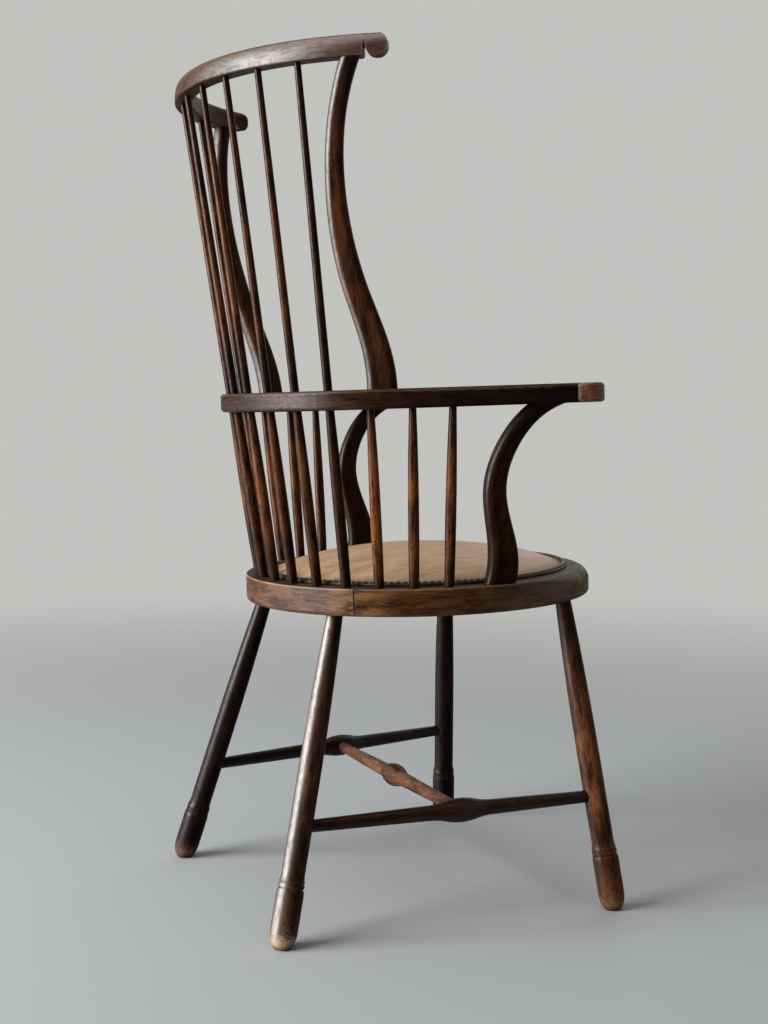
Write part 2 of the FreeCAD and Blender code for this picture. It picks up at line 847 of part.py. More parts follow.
def is_front_corner(edge):
    spot = Vector(abs(edge.Vertexes[0].Point.x), edge.Vertexes[0].Point.y, 0)
    corners = [run_centre + polar(arm_run_radius + side * arm_width / 2, arm_end) for side in (-1, 1)]
    return is_upright(edge) and min((spot - corner).Length for corner in corners) < match_tolerance


def arm_pieces():
    # The arm and its hand-holds are shaped as one and parted along the arm's outer face
    depth = Vector(0, 0, -arm_thickness)
    strip = arm_plan().extrude(depth)
    blocks = both_sides([hand_hold_plan().extrude(depth)])
    whole = strip.fuse(blocks).removeSplitter()
    whole = whole.makeFillet(arm_end_radius, [edge for edge in whole.Edges if is_front_corner(edge)])
    whole = whole.makeFillet(arm_edge_radius, [edge for edge in whole.Edges if is_level(edge)])
    bow = whole.common(strip)
    holds = whole.cut(strip).Solids
    bow.Placement = arm_place
    holes = []
    for foot, tip in long_axes:
        low = crossing(foot, tip, arm_place, -arm_thickness)
        high = crossing(foot, tip, arm_place, 0)
        holes.append(socket(low, extended(low, high, trim_allowance), spindle_arm_diameter))
    for foot, tip in short_axes:
        holes.append(socket(tip, extended(foot, tip, short_tip_tenon), short_tip_diameter))
    holes.append(socket(upright_foot, upright_foot_end, upright_tenon_diameter))
    holes.append(socket(support_top, support_top_end, support_tenon_diameter))
    bow = bow.cut(both_sides(holes))
    for hold in holds:
        hold.Placement = arm_place
    return bow, holds


os.makedirs("parts", exist_ok=True)

# Comb, uprights and arm
save("comb_rail", comb_rail())
left_upright = upright()
save("comb_upright_left", left_upright)
save("comb_upright_right", mirrored(left_upright))
bow, holds = arm_pieces()
save("arm_bow", bow)
for hold in holds:
    save("hand_hold_left" if hold.CenterOfMass.x > 0 else "hand_hold_right", hold)
left_support = arm_support()
save("arm_support_left", left_support)
save("arm_support_right", mirrored(left_support))

# Spindles, numbered from the left round the back, and from the rear along each arm
long_left = [long_spindle(foot, tip) for foot, tip in reversed(long_axes)]
long_right = [mirrored(shape) for shape in reversed(long_left)]
for number, shape in enumerate(long_left + long_right, start=1):
    save("back_spindle_%d" % number, shape)
for number, (foot, tip) in enumerate(short_axes, start=1):
    shape = short_spindle(foot, tip)
    save("arm_spindle_left_%d" % number, shape)
    save("arm_spindle_right_%d" % number, mirrored(shape))

# Nails round the pad and the holes that they go through, in the ring's own plane
nail_count = math.floor(2 * math.pi * nail_circle / (nail_head_diameter + nail_gap))
nail_spots = [polar(nail_circle, 360 * number / nail_count, banding_top) for number in range(nail_count)]
one_nail = nail()
nails = []
nail_holes = []
for spot in nail_spots:
    copy = one_nail.copy()
    copy.translate(spot)
    nails.append(copy)
    point = spot - up * nail_shank_length
    nail_holes.append(rod(spot + up * banding_top, point, nail_shank_diameter + 2 * fit_clearance))

# Seat rails
rail_holes = [rod(start, end, dowel_diameter + 2 * fit_clearance) for start, end in dowels()] + nail_holes
rails = {
    "seat_rail_back": ring_span(-ring_joint_angle, ring_joint_angle, webbing_thickness, ring_crisp_edge),
    "seat_rail_left": side_rail(),
    "seat_rail_front": ring_span(
        180 - ring_joint_angle, 180 + ring_joint_angle, webbing_thickness, ring_rolled_edge),
}
seat_holes = [socket(foot, extended(tip, foot, spindle_foot_tenon), spindle_foot_diameter)
              for foot, tip in long_axes + short_axes]
seat_holes += [socket(top, extended(foot, top, leg_tenon_length), leg_top_diameter)
               for foot, top in (rear_leg_axis, front_leg_axis)]
seat_holes.append(socket(support_foot, support_foot_end, support_tenon_diameter))
seat_holes = both_sides(seat_holes)
for name, rail in rails.items():
    bored = rail.cut(rail_holes)
    bored.Placement = seat_place
    rails[name] = bored.cut(seat_holes)
rails["seat_rail_right"] = mirrored(rails["seat_rail_left"])
for name, rail in rails.items():
    save(name, rail)

# Round seat pad, each piece set in the ring's plane
band = Part.makeCylinder(leather_radius, banding_thickness, up * leather_thickness)
band_hole = Part.makeCylinder(pad_radius + leather_thickness, banding_thickness, up * leather_thickness)
seat_pieces = {
    "seat_dowels": Part.makeCompound([rod(start, end, dowel_diameter) for start, end in dowels()]),
    "webbing_across": webbing("x", -2 * webbing_thickness),
    "webbing_along": webbing("y", -webbing_thickness),
    "seat_hessian": Part.makeCylinder(pad_radius, hessian_thickness),
    "seat_stuffing": stuffing(),
    "seat_leather": leather().cut(nail_holes),
    "leather_banding": band.cut(band_hole).cut(nail_holes),
    "seat_nails": Part.makeCompound(nails),
}
for name, shape in seat_pieces.items():
    shape.Placement = seat_place.multiply(shape.Placement)
    save(name, shape)

# Legs and stretchers
side_length = (side_front - side_rear).Length
side_run = (side_front - side_rear).normalize()
cross_run = (cross_right - cross_left).normalize()
side_hole = stretcher_end_diameter + 2 * fit_clearance
cross_hole = cross_end_diameter + 2 * fit_clearance
floor = half_space(Placement(), 0, -1)
left_legs = {
    "leg_rear": leg(*rear_leg_axis).cut([
        floor, rod(side_rear, side_rear + side_run * leg_shaft_diameter, side_hole)]),
    "leg_front": leg(*front_leg_axis).cut([
        floor, rod(side_front, side_front - side_run * leg_shaft_diameter, side_hole)]),
}
for name, shape in left_legs.items():
    save(name + "_left", shape)
    save(name + "_right", mirrored(shape))
side_bore = leg_shaft_diameter / 2 + 2 * joint_margin
left_side = stretcher(
    side_rear, side_front, side_length * cross_place_share, side_bulge_half_length,
    stretcher_end_diameter, side_bore)
left_side = left_side.cut(rod(cross_left, cross_left + cross_run * stretcher_bulge_diameter, cross_hole))
save("side_stretcher_left", left_side)
save("side_stretcher_right", mirrored(left_side))
cross_length = (cross_right - cross_left).Length
cross_bore = stretcher_bulge_diameter / 2 + joint_margin
save("cross_stretcher", stretcher(
    cross_left, cross_right, cross_length / 2, cross_bulge_half_length, cross_end_diameter, cross_bore))
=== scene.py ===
import math

import bpy
from mathutils import Matrix, Vector, noise as field


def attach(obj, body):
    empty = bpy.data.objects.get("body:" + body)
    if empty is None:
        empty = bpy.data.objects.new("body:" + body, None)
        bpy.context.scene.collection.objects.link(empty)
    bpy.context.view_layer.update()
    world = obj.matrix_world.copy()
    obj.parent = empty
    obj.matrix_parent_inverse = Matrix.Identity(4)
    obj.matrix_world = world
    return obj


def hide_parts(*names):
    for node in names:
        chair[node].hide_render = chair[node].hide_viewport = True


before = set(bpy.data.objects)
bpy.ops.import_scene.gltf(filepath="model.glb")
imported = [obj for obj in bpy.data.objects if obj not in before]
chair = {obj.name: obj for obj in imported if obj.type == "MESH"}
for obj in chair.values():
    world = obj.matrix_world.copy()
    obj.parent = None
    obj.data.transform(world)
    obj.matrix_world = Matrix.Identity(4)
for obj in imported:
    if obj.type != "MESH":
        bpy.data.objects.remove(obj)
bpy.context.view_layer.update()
scene = bpy.context.scene
scene.view_settings.view_transform = "Standard"
bpy.ops.object.select_all(action="DESELECT")
print("frame loaded,", len(chair), "nodes")

# Shared places, in metres: the seat ring's top plane tips back about its centre
seat = {"centre": Vector((0, -0.0478, 0.45)), "slope": math.radians(-1.6), "nailCount": 149,
        "radius": 0.24}
seatFrame = Matrix.Translation(seat["centre"]) @ Matrix.Rotation(seat["slope"], 4, "X")

# Camera, where the photographer stood: rear quarter on the sitter's right
cameraSet = {
    "place": (-1.9226, 0.8713, 0.6742), "heading": -24.276, "pitch": -3.879, "lens": 51.92, "sensor": 36,
}
bpy.ops.object.camera_add(location=cameraSet["place"])
camera = bpy.context.object
camera.name = "photoCamera"
camera.rotation_euler.x = math.radians(90 + cameraSet["pitch"])
camera.rotation_euler.z = math.radians(cameraSet["heading"] - 90)
camera.data.lens = cameraSet["lens"]
camera.data.sensor_width = cameraSet["sensor"]
camera.data.dof.use_dof = False
scene.camera = camera
print("camera set")


# Node helpers

def feed(tree, node, sockets):
    for key, value in sockets.items():
        if isinstance(value, bpy.types.NodeSocket):
            tree.links.new(value, node.inputs[key])
        else:
            node.inputs[key].default_value = value


def putNode(tree, kind, place, sockets=None, **settings):
    node = tree.nodes.new(kind)
    node.location = place
    for key, value in settings.items():
        setattr(node, key, value)
    feed(tree, node, sockets or {})
    return node


def maths(tree, operation, place, first, second=0.0, clamp=False):
    node = putNode(tree, "ShaderNodeMath", place, operation=operation, use_clamp=clamp)
    feed(tree, node, {0: first, 1: second})
    return node.outputs[0]


def times(tree, place, first, second, clamp=False):
    return maths(tree, "MULTIPLY", place, first, second, clamp)


def plus(tree, place, first, second, clamp=False):
    return maths(tree, "ADD", place, first, second, clamp)


def vectorMaths(tree, operation, place, first, second=(0, 0, 0)):
    node = putNode(tree, "ShaderNodeVectorMath", place, operation=operation)
    feed(tree, node, {0: first, 1: second})
    return node


def axes(tree, place, vector):
    return putNode(tree, "ShaderNodeSeparateXYZ", place, {0: vector}).outputs


def spread(tree, place, value, low, high, toLow=0.0, toHigh=1.0):
    sockets = {"Value": value, "From Min": low, "From Max": high, "To Min": toLow, "To Max": toHigh}
    node = putNode(tree, "ShaderNodeMapRange", place, sockets, interpolation_type="SMOOTHSTEP")
    return node.outputs["Result"]


def mixColour(tree, place, share, first, second):
    node = putNode(tree, "ShaderNodeMix", place, data_type="RGBA")
    feed(tree, node, {0: share, 6: first, 7: second})
    return node.outputs[2]


def noise(tree, place, vector, scale, detail=2.0, rough=0.5, twist=0.0):
    sockets = {"Vector": vector, "Scale": scale, "Detail": detail, "Roughness": rough, "Distortion": twist}
    return putNode(tree, "ShaderNodeTexNoise", place, sockets).outputs["Fac"]


def stretch(tree, place, vector, scale):
    return putNode(tree, "ShaderNodeMapping", place, {"Vector": vector, "Scale": scale}).outputs["Vector"]


def intoFrame(tree, place, vector, pieceFrame):
    sockets = {"Vector": vector, "Location": pieceFrame.to_translation(), "Rotation": pieceFrame.to_euler()}
    return putNode(tree, "ShaderNodeMapping", place, sockets, vector_type="TEXTURE").outputs["Vector"]


def ramp(tree, place, value, stops):
    node = putNode(tree, "ShaderNodeValToRGB", place, {"Fac": value})
    elements = node.color_ramp.elements
    while len(elements) < len(stops):
        elements.new(0.5)
    for element, (position, level) in zip(elements, stops):
        element.position = position
        element.color = (level, level, level, 1)
    return node.outputs["Color"]


def newGroup(name, inputs, outputs):
    tree = bpy.data.node_groups.new(name, "ShaderNodeTree")
    for socketName, kind in inputs:
        tree.interface.new_socket(name=socketName, in_out="INPUT", socket_type="NodeSocket" + kind)
    for socketName in outputs:
        kind = "Vector" if socketName == "Vector" else "Float"
        tree.interface.new_socket(name=socketName, in_out="OUTPUT", socket_type="NodeSocket" + kind)
    source = putNode(tree, "NodeGroupInput", (-900, 0)).outputs
    sink = putNode(tree, "NodeGroupOutput", (900, 0)).inputs
    return tree, source, sink


def useGroup(tree, group, place, sockets):
    node = putNode(tree, "ShaderNodeGroup", place, node_tree=group)
    feed(tree, node, sockets)
    return node.outputs


def newMaterial(name):
    material = bpy.data.materials.new(name)
    material.use_nodes = True
    tree = material.node_tree
    coords = putNode(tree, "ShaderNodeTexCoord", (-1900, 0)).outputs["Object"]
    return material, tree, tree.nodes["Principled BSDF"], coords


def dress(piece, material):
    piece.data.materials.clear()
    piece.data.materials.append(material)


# Each noise that an effect puts out: how it is drawn out, its scale, detail, roughness and twist, and the
# range that is kept of it
figureRows = {
    "Broad": ((1, 1, 0.22), (90.0, 4.0, 0.62, 0.3), (0.32, 0.68)),
    "Streaks": ((1, 1, 0.07), (430.0, 4.0, 0.62), (0.35, 0.67)),
    "Fibre": ((1, 1, 0.03), (1100.0, 2.0, 0.6), (0.3, 0.7)),
    "Flecks": ((1, 1, 0.14), (760.0, 1.0), (0.55, 0.66)),
}
wearRows = {
    "Patches": ((1, 1, 0.3), (60.0, 5.0, 0.65, 0.5), (0.38, 0.66)),
    "Scuffs": ((1, 1, 0.3), (300.0, 4.0, 0.7), (0.4, 0.68)),
    "Hollows": ((1, 1, 0.35), (75.0, 2.0), None),
    "Speckle": (None, (650.0, 3.0, 0.7), (0.36, 0.66)),
}


def noiseRows(tree, vector, rows, sink):
    for row, (name, (drawn, settings, limits)) in enumerate(rows.items()):
        high = 300 - 200 * row
        place = stretch(tree, (-260, high), vector, drawn) if drawn else vector
        value = noise(tree, (-80, high), place, *settings)
        if limits:
            value = spread(tree, (300, high), value, *limits)
        tree.links.new(value, sink[name])


# Wood figure with the grain along Z of the vector: broad streaks, fine fibres and short dark pores
def buildFibreFigure():
    tree, source, sink = newGroup(
        "fibreFigure", [("Vector", "Vector"), ("Seed", "Float"), ("Scale", "Float")], list(figureRows))
    shift = putNode(tree, "ShaderNodeCombineXYZ", (-700, -200), {"X": source["Seed"], "Y": source["Seed"]})
    moved = vectorMaths(tree, "ADD", (-540, 0), source["Vector"], shift.outputs[0]).outputs[0]
    sized = vectorMaths(tree, "SCALE", (-420, 0), moved)
    feed(tree, sized, {"Scale": source["Scale"]})
    noiseRows(tree, sized.outputs[0], figureRows, sink)
    return tree


# Rubbed patches, scuffs, speckles and the slight unevenness of hand work
def buildHandWear():
    tree, source, sink = newGroup("handWear", [("Vector", "Vector"), ("Seed", "Float")], list(wearRows))
    shift = putNode(tree, "ShaderNodeCombineXYZ", (-700, -200), {"Y": source["Seed"], "Z": source["Seed"]})
    place = vectorMaths(tree, "ADD", (-520, 0), source["Vector"], shift.outputs[0]).outputs[0]
    noiseRows(tree, place, wearRows, sink)
    return tree


# Where edges are rubbed bare, and where corners turn darker by ambient occlusion: old polish there, and
# painted shade
rubAndShadeSet = {"samples": 4, "edge": (0.99, 0.86), "near": 0.016, "corner": (0.92, 0.35)}


def buildEdgeRubAndCornerShade():
    tree, source, sink = newGroup("edgeRubAndCornerShade", [("Radius", "Float")], ["Edge", "CornerPolishAndShade"])
    sockets = {"Radius": source["Radius"]}
    soft = putNode(tree, "ShaderNodeBevel", (-500, 100), sockets, samples=rubAndShadeSet["samples"])
    plain = putNode(tree, "ShaderNodeNewGeometry", (-500, -100))
    turn = vectorMaths(tree, "DOT_PRODUCT", (-300, 0), soft.outputs[0], plain.outputs["Normal"])
    tree.links.new(spread(tree, (0, 0), turn.outputs["Value"], *rubAndShadeSet["edge"]), sink["Edge"])
    # Ambient occlusion marks the corners: old polish there, and painted shade
    sockets = {"Distance": rubAndShadeSet["near"]}
    near = putNode(tree, "ShaderNodeAmbientOcclusion", (-300, -300), sockets, samples=rubAndShadeSet["samples"])
    tree.links.new(spread(tree, (0, -300), near.outputs["AO"], *rubAndShadeSet["corner"]), sink["CornerPolishAndShade"])
    return tree


# Straightens a bow: the grain runs round an arc at the back and forward along the two sides
def buildBentGrain():
    tree, source, sink = newGroup(
        "bentGrain", [("Vector", "Vector"), ("Centre", "Float"), ("Radius", "Float")], ["Vector"])
    split = axes(tree, (-700, 0), source["Vector"])
    back = maths(tree, "SUBTRACT", (-500, 100), split["Y"], source["Centre"])
    rear = maths(tree, "MAXIMUM", (-320, 200), back, 0.0)
    front = maths(tree, "MINIMUM", (-320, 0), back, 0.0)
    wide = maths(tree, "ABSOLUTE", (-500, -100), split["X"])
    turn = maths(tree, "ARCTAN2", (-120, 200), wide, rear)
    arc = times(tree, (60, 200), turn, source["Radius"])
    along = maths(tree, "SUBTRACT", (240, 200), arc, front)
    wideSquare = times(tree, (-120, 60), wide, wide)
    rearSquare = times(tree, (-120, -60), rear, rear)
    reach = maths(tree, "SQRT", (240, 0), plus(tree, (60, 0), wideSquare, rearSquare))
    joined = putNode(tree, "ShaderNodeCombineXYZ", (480, 0))
    feed(tree, joined, {"X": reach, "Y": split["Z"], "Z": along})
    tree.links.new(joined.outputs[0], sink["Vector"])
    return tree


# Grain that follows the ring: across it, up it and round it from the middle of the rail
def buildRoundGrain():
    tree, source, sink = newGroup("roundGrain", [("Vector", "Vector"), ("Radius", "Float")], ["Vector"])
    split = axes(tree, (-600, 0), source["Vector"])
    flat = vectorMaths(tree, "MULTIPLY", (-600, -300), source["Vector"], (1, 1, 0)).outputs[0]
    reach = vectorMaths(tree, "LENGTH", (-300, -300), flat).outputs["Value"]
    turn = maths(tree, "ARCTAN2", (-300, 100), split["X"], split["Y"])
    along = times(tree, (0, 100), turn, source["Radius"])
    joined = putNode(tree, "ShaderNodeCombineXYZ", (300, 0))
    feed(tree, joined, {"X": reach, "Y": split["Z"], "Z": along})
    tree.links.new(joined.outputs[0], sink["Vector"])
    return tree


# The ring's four butt joints lie on the diagonals of the seat: a dark line, old polish worn beside it, and
# a strip that stays clear of edge wear. Each is a range of the distance from the joint
jointRows = {"Line": (0.0018, 0.0008), "Beside": (0.09, 0.01), "Clear": (0.004, 0.012)}


def buildButtJoint():
    tree, source, sink = newGroup("buttJoint", [("Vector", "Vector")], list(jointRows))
    place = intoFrame(tree, (-700, 0), source["Vector"], seatFrame)
    split = axes(tree, (-500, 0), place)
    wide = maths(tree, "ABSOLUTE", (-300, 100), split["X"])
    deep = maths(tree, "ABSOLUTE", (-300, -100), split["Y"])
    gap = maths(tree, "ABSOLUTE", (60, 0), maths(tree, "SUBTRACT", (-120, 0), wide, deep))
    for row, (name, limits) in enumerate(jointRows.items()):
        tree.links.new(spread(tree, (300, 100 - 200 * row), gap, *limits), sink[name])
    return tree


fibreFigure = buildFibreFigure()
handWear = buildHandWear()
edgeRubAndCornerShade = buildEdgeRubAndCornerShade()
bentGrain = buildBentGrain()
roundGrain = buildRoundGrain()
buttJoint = buildButtJoint()
print("wood effects built")


# Old dark stain under wax: what most of the wood shares, then each look's own colours, wax and wear,
# and its painted rim highlight and side sheen. A list of pairs gives shares along the piece, from its foot
# to its head
woodUsual = {
    "edge": 0.3, "gloss": 0.36, "satin": 0.38, "scale": 1.0, "patchy": 0.65, "ragged": 0.05, "lustre": 1.5,
}
stretcherWear = [
    (0, 0), (0.1, 0.2), (0.3, 0.6), (0.45, 0.5), (0.55, 0.5), (0.75, 0.6), (0.92, 0.15), (1, 0),
]
woodLooks = {
    "spindle": {
        "deep": (0.004, 0.0014, 0.0009, 1), "stain": (0.022, 0.0066, 0.003, 1),
        "amber": (0.31, 0.096, 0.021, 1), "bareAndSheen": (0.34, 0.16, 0.065, 1),
        "edge": 0.15, "wax": 0.65, "patchy": 0.6, "side": (0.55, 0.95), "pores": 0.4, "lustre": 1.55,
        "wear": [(0, 0.05), (0.06, 0.15), (0.15, 0.7), (0.28, 0.85), (0.37, 0.3), (0.4, 0), (0.45, 0.1),
                 (0.55, 0.6), (0.78, 0.7), (0.9, 0.25), (0.98, 0)],
    },
    "armSpindle": {
        "deep": (0.005, 0.0018, 0.001, 1), "stain": (0.026, 0.0082, 0.0036, 1),
        "amber": (0.3, 0.095, 0.021, 1), "bareAndSheen": (0.36, 0.17, 0.07, 1),
        "edge": 0.15, "wax": 0.65, "patchy": 0.6, "ragged": 0.06, "side": (0.55, 0.95), "pores": 0.4,
        "lustre": 1.55,
        "wear": [(0, 0.05), (0.08, 0.2), (0.3, 0.85), (0.6, 0.8), (0.88, 0.2), (0.96, 0)],
    },
    "leg": {
        "deep": (0.009, 0.0034, 0.0019, 1), "stain": (0.042, 0.0145, 0.0066, 1),
        "amber": (0.33, 0.118, 0.044, 1), "bareAndSheen": (0.36, 0.2, 0.1, 1),
        "wax": 0.85, "side": (0.55, 0.95), "pores": 0.45, "lustre": 1.55,
        "wear": [(0, 0.6), (0.06, 0.45), (0.14, 0.4), (0.3, 0.75), (0.55, 0.7), (0.8, 0.3), (0.97, 0.05)],
        "tips": [(0, 0.8), (0.02, 0.55), (0.05, 0.15), (0.09, 0)],
    },
    "legDark": {
        "deep": (0.004, 0.0018, 0.0013, 1), "stain": (0.009, 0.004, 0.0028, 1),
        "amber": (0.035, 0.015, 0.0098, 1), "bareAndSheen": (0.3, 0.18, 0.1, 1),
        "wax": 0.8, "side": (0.55, 0.95), "pores": 0.45, "lustre": 1.55,
        "wear": [(0, 0.5), (0.06, 0.3), (0.14, 0.2), (0.3, 0.5), (0.55, 0.6), (0.8, 0.3), (0.97, 0.05)],
        "tips": [(0, 0.85), (0.02, 0.6), (0.06, 0.2), (0.1, 0)],
    },
    "legWorn": {
        "deep": (0.006, 0.0027, 0.0018, 1), "stain": (0.028, 0.0115, 0.0065, 1),
        "amber": (0.13, 0.056, 0.028, 1), "bareAndSheen": (0.5, 0.34, 0.19, 1),
        "edge": 0.4, "wax": 1.0, "satin": 0.6, "side": (0.35, 0.9), "sheenSide": 0.15, "pores": 0.4,
        "lustre": 3.0,
        "wear": [(0, 0.9), (0.06, 0.7), (0.12, 0.2), (0.3, 0.4), (0.55, 0.7), (0.8, 0.35), (0.97, 0.05)],
        "tips": [(0, 1), (0.018, 0.8), (0.04, 0.35), (0.08, 0.08), (0.14, 0)],
    },
    "stretcher": {
        "deep": (0.006, 0.0022, 0.0012, 1), "stain": (0.018, 0.006, 0.0028, 1),
        "amber": (0.07, 0.023, 0.0085, 1), "bareAndSheen": (0.3, 0.16, 0.08, 1),
        "wax": 0.4, "pores": 0.5,
        "wear": stretcherWear,
    },
    "stretcherDark": {
        "deep": (0.003, 0.0012, 0.0008, 1), "stain": (0.009, 0.0034, 0.0018, 1),
        "amber": (0.035, 0.013, 0.006, 1), "bareAndSheen": (0.24, 0.13, 0.07, 1),
        "edge": 0.2, "wax": 0.4, "pores": 0.5,
        "wear": stretcherWear,
    },
    "crossStretcher": {
        "deep": (0.02, 0.0085, 0.005, 1), "stain": (0.1, 0.043, 0.022, 1),
        "amber": (0.28, 0.132, 0.068, 1), "bareAndSheen": (0.4, 0.24, 0.14, 1),
        "gloss": 0.4, "wax": 0.35, "satin": 0.4, "patchy": 0.55, "ragged": 0.04, "pores": 0.45,
        "wear": [(0, 0.1), (0.12, 0.7), (0.38, 0.85), (0.46, 0.15), (0.54, 0.15), (0.62, 0.85),
                 (0.9, 0.7), (1, 0.1)],
    },
    "upright": {
        "deep": (0.005, 0.0018, 0.001, 1), "stain": (0.028, 0.0092, 0.0042, 1),
        "amber": (0.125, 0.041, 0.0135, 1), "bareAndSheen": (0.34, 0.18, 0.085, 1),
        "edge": 0.2, "wax": 1.0, "satin": 0.56, "scale": 0.9, "patchy": 0.6, "ragged": 0.04,
        "side": (0.4, 0.9), "pores": 0.35, "lustre": 2.2,
        "wear": [(0, 0.1), (0.06, 0.12), (0.17, 0.7), (0.35, 0.8), (0.6, 0.7), (0.75, 0.5), (0.88, 0.15),
                 (1, 0)],
    },
    "support": {
        "deep": (0.004, 0.0014, 0.0008, 1), "stain": (0.015, 0.0047, 0.002, 1),
        "amber": (0.075, 0.024, 0.0088, 1), "bareAndSheen": (0.3, 0.15, 0.075, 1),
        "edge": 0.2, "wax": 0.7, "satin": 0.42, "scale": 0.9, "patchy": 0.6, "ragged": 0.04,
        "side": (0.55, 0.95), "pores": 0.4, "lustre": 1.6,
        "wear": [(0, 0.1), (0.15, 0.3), (0.4, 0.75), (0.62, 0.6), (0.85, 0.1), (0.97, 0)],
    },
    "bow": {
        "deep": (0.004, 0.0016, 0.0011, 1), "stain": (0.015, 0.0058, 0.0036, 1),
        "amber": (0.08, 0.033, 0.016, 1), "bareAndSheen": (0.34, 0.19, 0.1, 1),
        "wax": 0.75, "satin": 0.5, "scale": 1.2, "patchy": 0.5, "ragged": 0.03, "side": (0.55, 0.95),
        "rimHighlight": 0.2, "pores": 0.3, "lustre": 1.6,
        "wear": [(0, 0.85), (0.4, 0.75), (0.55, 0.25), (0.8, 0.05), (1, 0.1)],
    },
    "handHold": {
        "deep": (0.018, 0.007, 0.004, 1), "stain": (0.11, 0.044, 0.021, 1),
        "amber": (0.3, 0.13, 0.056, 1), "bareAndSheen": (0.36, 0.2, 0.1, 1),
        "wax": 0.8, "satin": 0.34, "scale": 1.4, "patchy": 0.4, "ragged": 0.03, "pores": 0.4,
        "wear": [(0, 0.5), (1, 0.6)],
    },
    "comb": {
        "deep": (0.014, 0.006, 0.004, 1), "stain": (0.045, 0.018, 0.0105, 1),
        "amber": (0.125, 0.053, 0.026, 1), "bareAndSheen": (0.42, 0.26, 0.15, 1),
        "gloss": 0.4, "wax": 1.0, "satin": 0.5, "scale": 0.9, "patchy": 0.5, "ragged": 0.03,
        "side": (0.25, 0.65), "rimHighlight": 0.12, "pores": 0.22, "lustre": 1.95,
        "wear": [(0, 0.75), (0.35, 0.7), (0.7, 0.6), (0.9, 0.5), (1, 0.5)],
    },
    "ringBack": {
        "deep": (0.018, 0.0075, 0.0044, 1), "stain": (0.08, 0.034, 0.017, 1),
        "amber": (0.22, 0.112, 0.052, 1), "bareAndSheen": (0.48, 0.33, 0.19, 1),
        "edge": 1.0, "gloss": 0.42, "wax": 0.7, "satin": 0.5, "ragged": 0.03, "rimHighlight": 0.8,
        "pores": 0.22, "lustre": 1.6, "joint": 0.6,
        "wear": [(0, 0.7), (1, 0.7)],
    },
    "ringSide": {
        "deep": (0.01, 0.0038, 0.0016, 1), "stain": (0.045, 0.0165, 0.0058, 1),
        "amber": (0.175, 0.08, 0.025, 1), "bareAndSheen": (0.42, 0.27, 0.13, 1),
        "edge": 0.6, "gloss": 0.42, "wax": 0.5, "satin": 0.5, "ragged": 0.03, "rimHighlight": 0.4,
        "pores": 0.22, "lustre": 1.55, "joint": 0.7,
        "wear": [(0, 0.55), (1, 0.55)],
    },
    "ringFront": {
        "deep": (0.007, 0.0024, 0.001, 1), "stain": (0.036, 0.0115, 0.0034, 1),
        "amber": (0.12, 0.047, 0.013, 1), "bareAndSheen": (0.36, 0.21, 0.1, 1),
        "edge": 0.5, "gloss": 0.42, "wax": 0.4, "satin": 0.5, "ragged": 0.03, "pores": 0.25, "joint": 0.4,
        "wear": [(0, 0.5), (1, 0.5)],
    },
}

# Hands and light have worn some spindles more than others
wornUsual = 0.75
wornMore = {
    "back_spindle_1": 0.6, "back_spindle_2": 0.8, "back_spindle_3": 0.8, "back_spindle_4": 0.7,
    "back_spindle_5": 0.85, "back_spindle_6": 0.5, "back_spindle_7": 0.5, "back_spindle_8": 0.15,
    "arm_spindle_right_1": 1.15, "arm_spindle_right_2": 0.85, "arm_spindle_right_3": 0.7,
}


# Wax: how its sheen rises and falls with the slant it is seen at, and what scuffs leave of it. It is
# thickest on the sides turned to the back, which hands and knees do not rub
waxSet = {
    "side": (-0.35, 0.94, 0.0), "blend": 0.5, "rise": (0.02, 0.24, 0.04, 1.0),
    "fall": (0.45, 0.75, 1.0, 0.15), "scuffed": 0.55,
}
# Shares and ranges that all the wood has in common, and the depth of its relief
woodSet = {
    "edgeRadius": 0.004, "broad": 0.2, "speckle": 0.4, "rimHighlightRise": (0.15, 0.45), "rimHighlightFall": (0.98, 0.85),
    "least": 0.5, "sheenSideRange": (0.55, 0.95), "toeSpeckle": 0.6, "toe": (0.0, 0.8), "polishAndShade": 0.8,
    "topDark": (0.75, 0.98, 0.0, 0.75), "jointLine": (0.004, 0.002, 0.0015, 1), "scuffDull": 0.2,
    "bareAndSheenDull": 0.25, "specular": 0.03, "fineRelief": {"Strength": 0.05, "Distance": 0.0005},
    "hollowRelief": {"Strength": 0.2, "Distance": 0.0014},
}


def waxWeight(tree, scuffs, turned, look):
    # Wax shows most where it is seen at a slant, and is broken by scuffs
    sockets = {"Blend": waxSet["blend"]}
    slant = putNode(tree, "ShaderNodeLayerWeight", (-700, -900), sockets).outputs["Facing"]
    rise = spread(tree, (-520, -900), slant, *waxSet["rise"])
    fall = spread(tree, (-520, -1100), slant, *waxSet["fall"])
    sheen = times(tree, (-340, -1000), rise, fall)
    thin = waxSet["scuffed"] * look["wax"]
    broken = spread(tree, (-520, -1300), scuffs, 0.0, 1.0, look["wax"], thin)
    weight = times(tree, (-160, -1000), sheen, broken)
    if "side" in look:
        kept = spread(tree, (-340, -1700), turned, *look["side"])
        weight = times(tree, (20, -1000), weight, kept)
    return weight


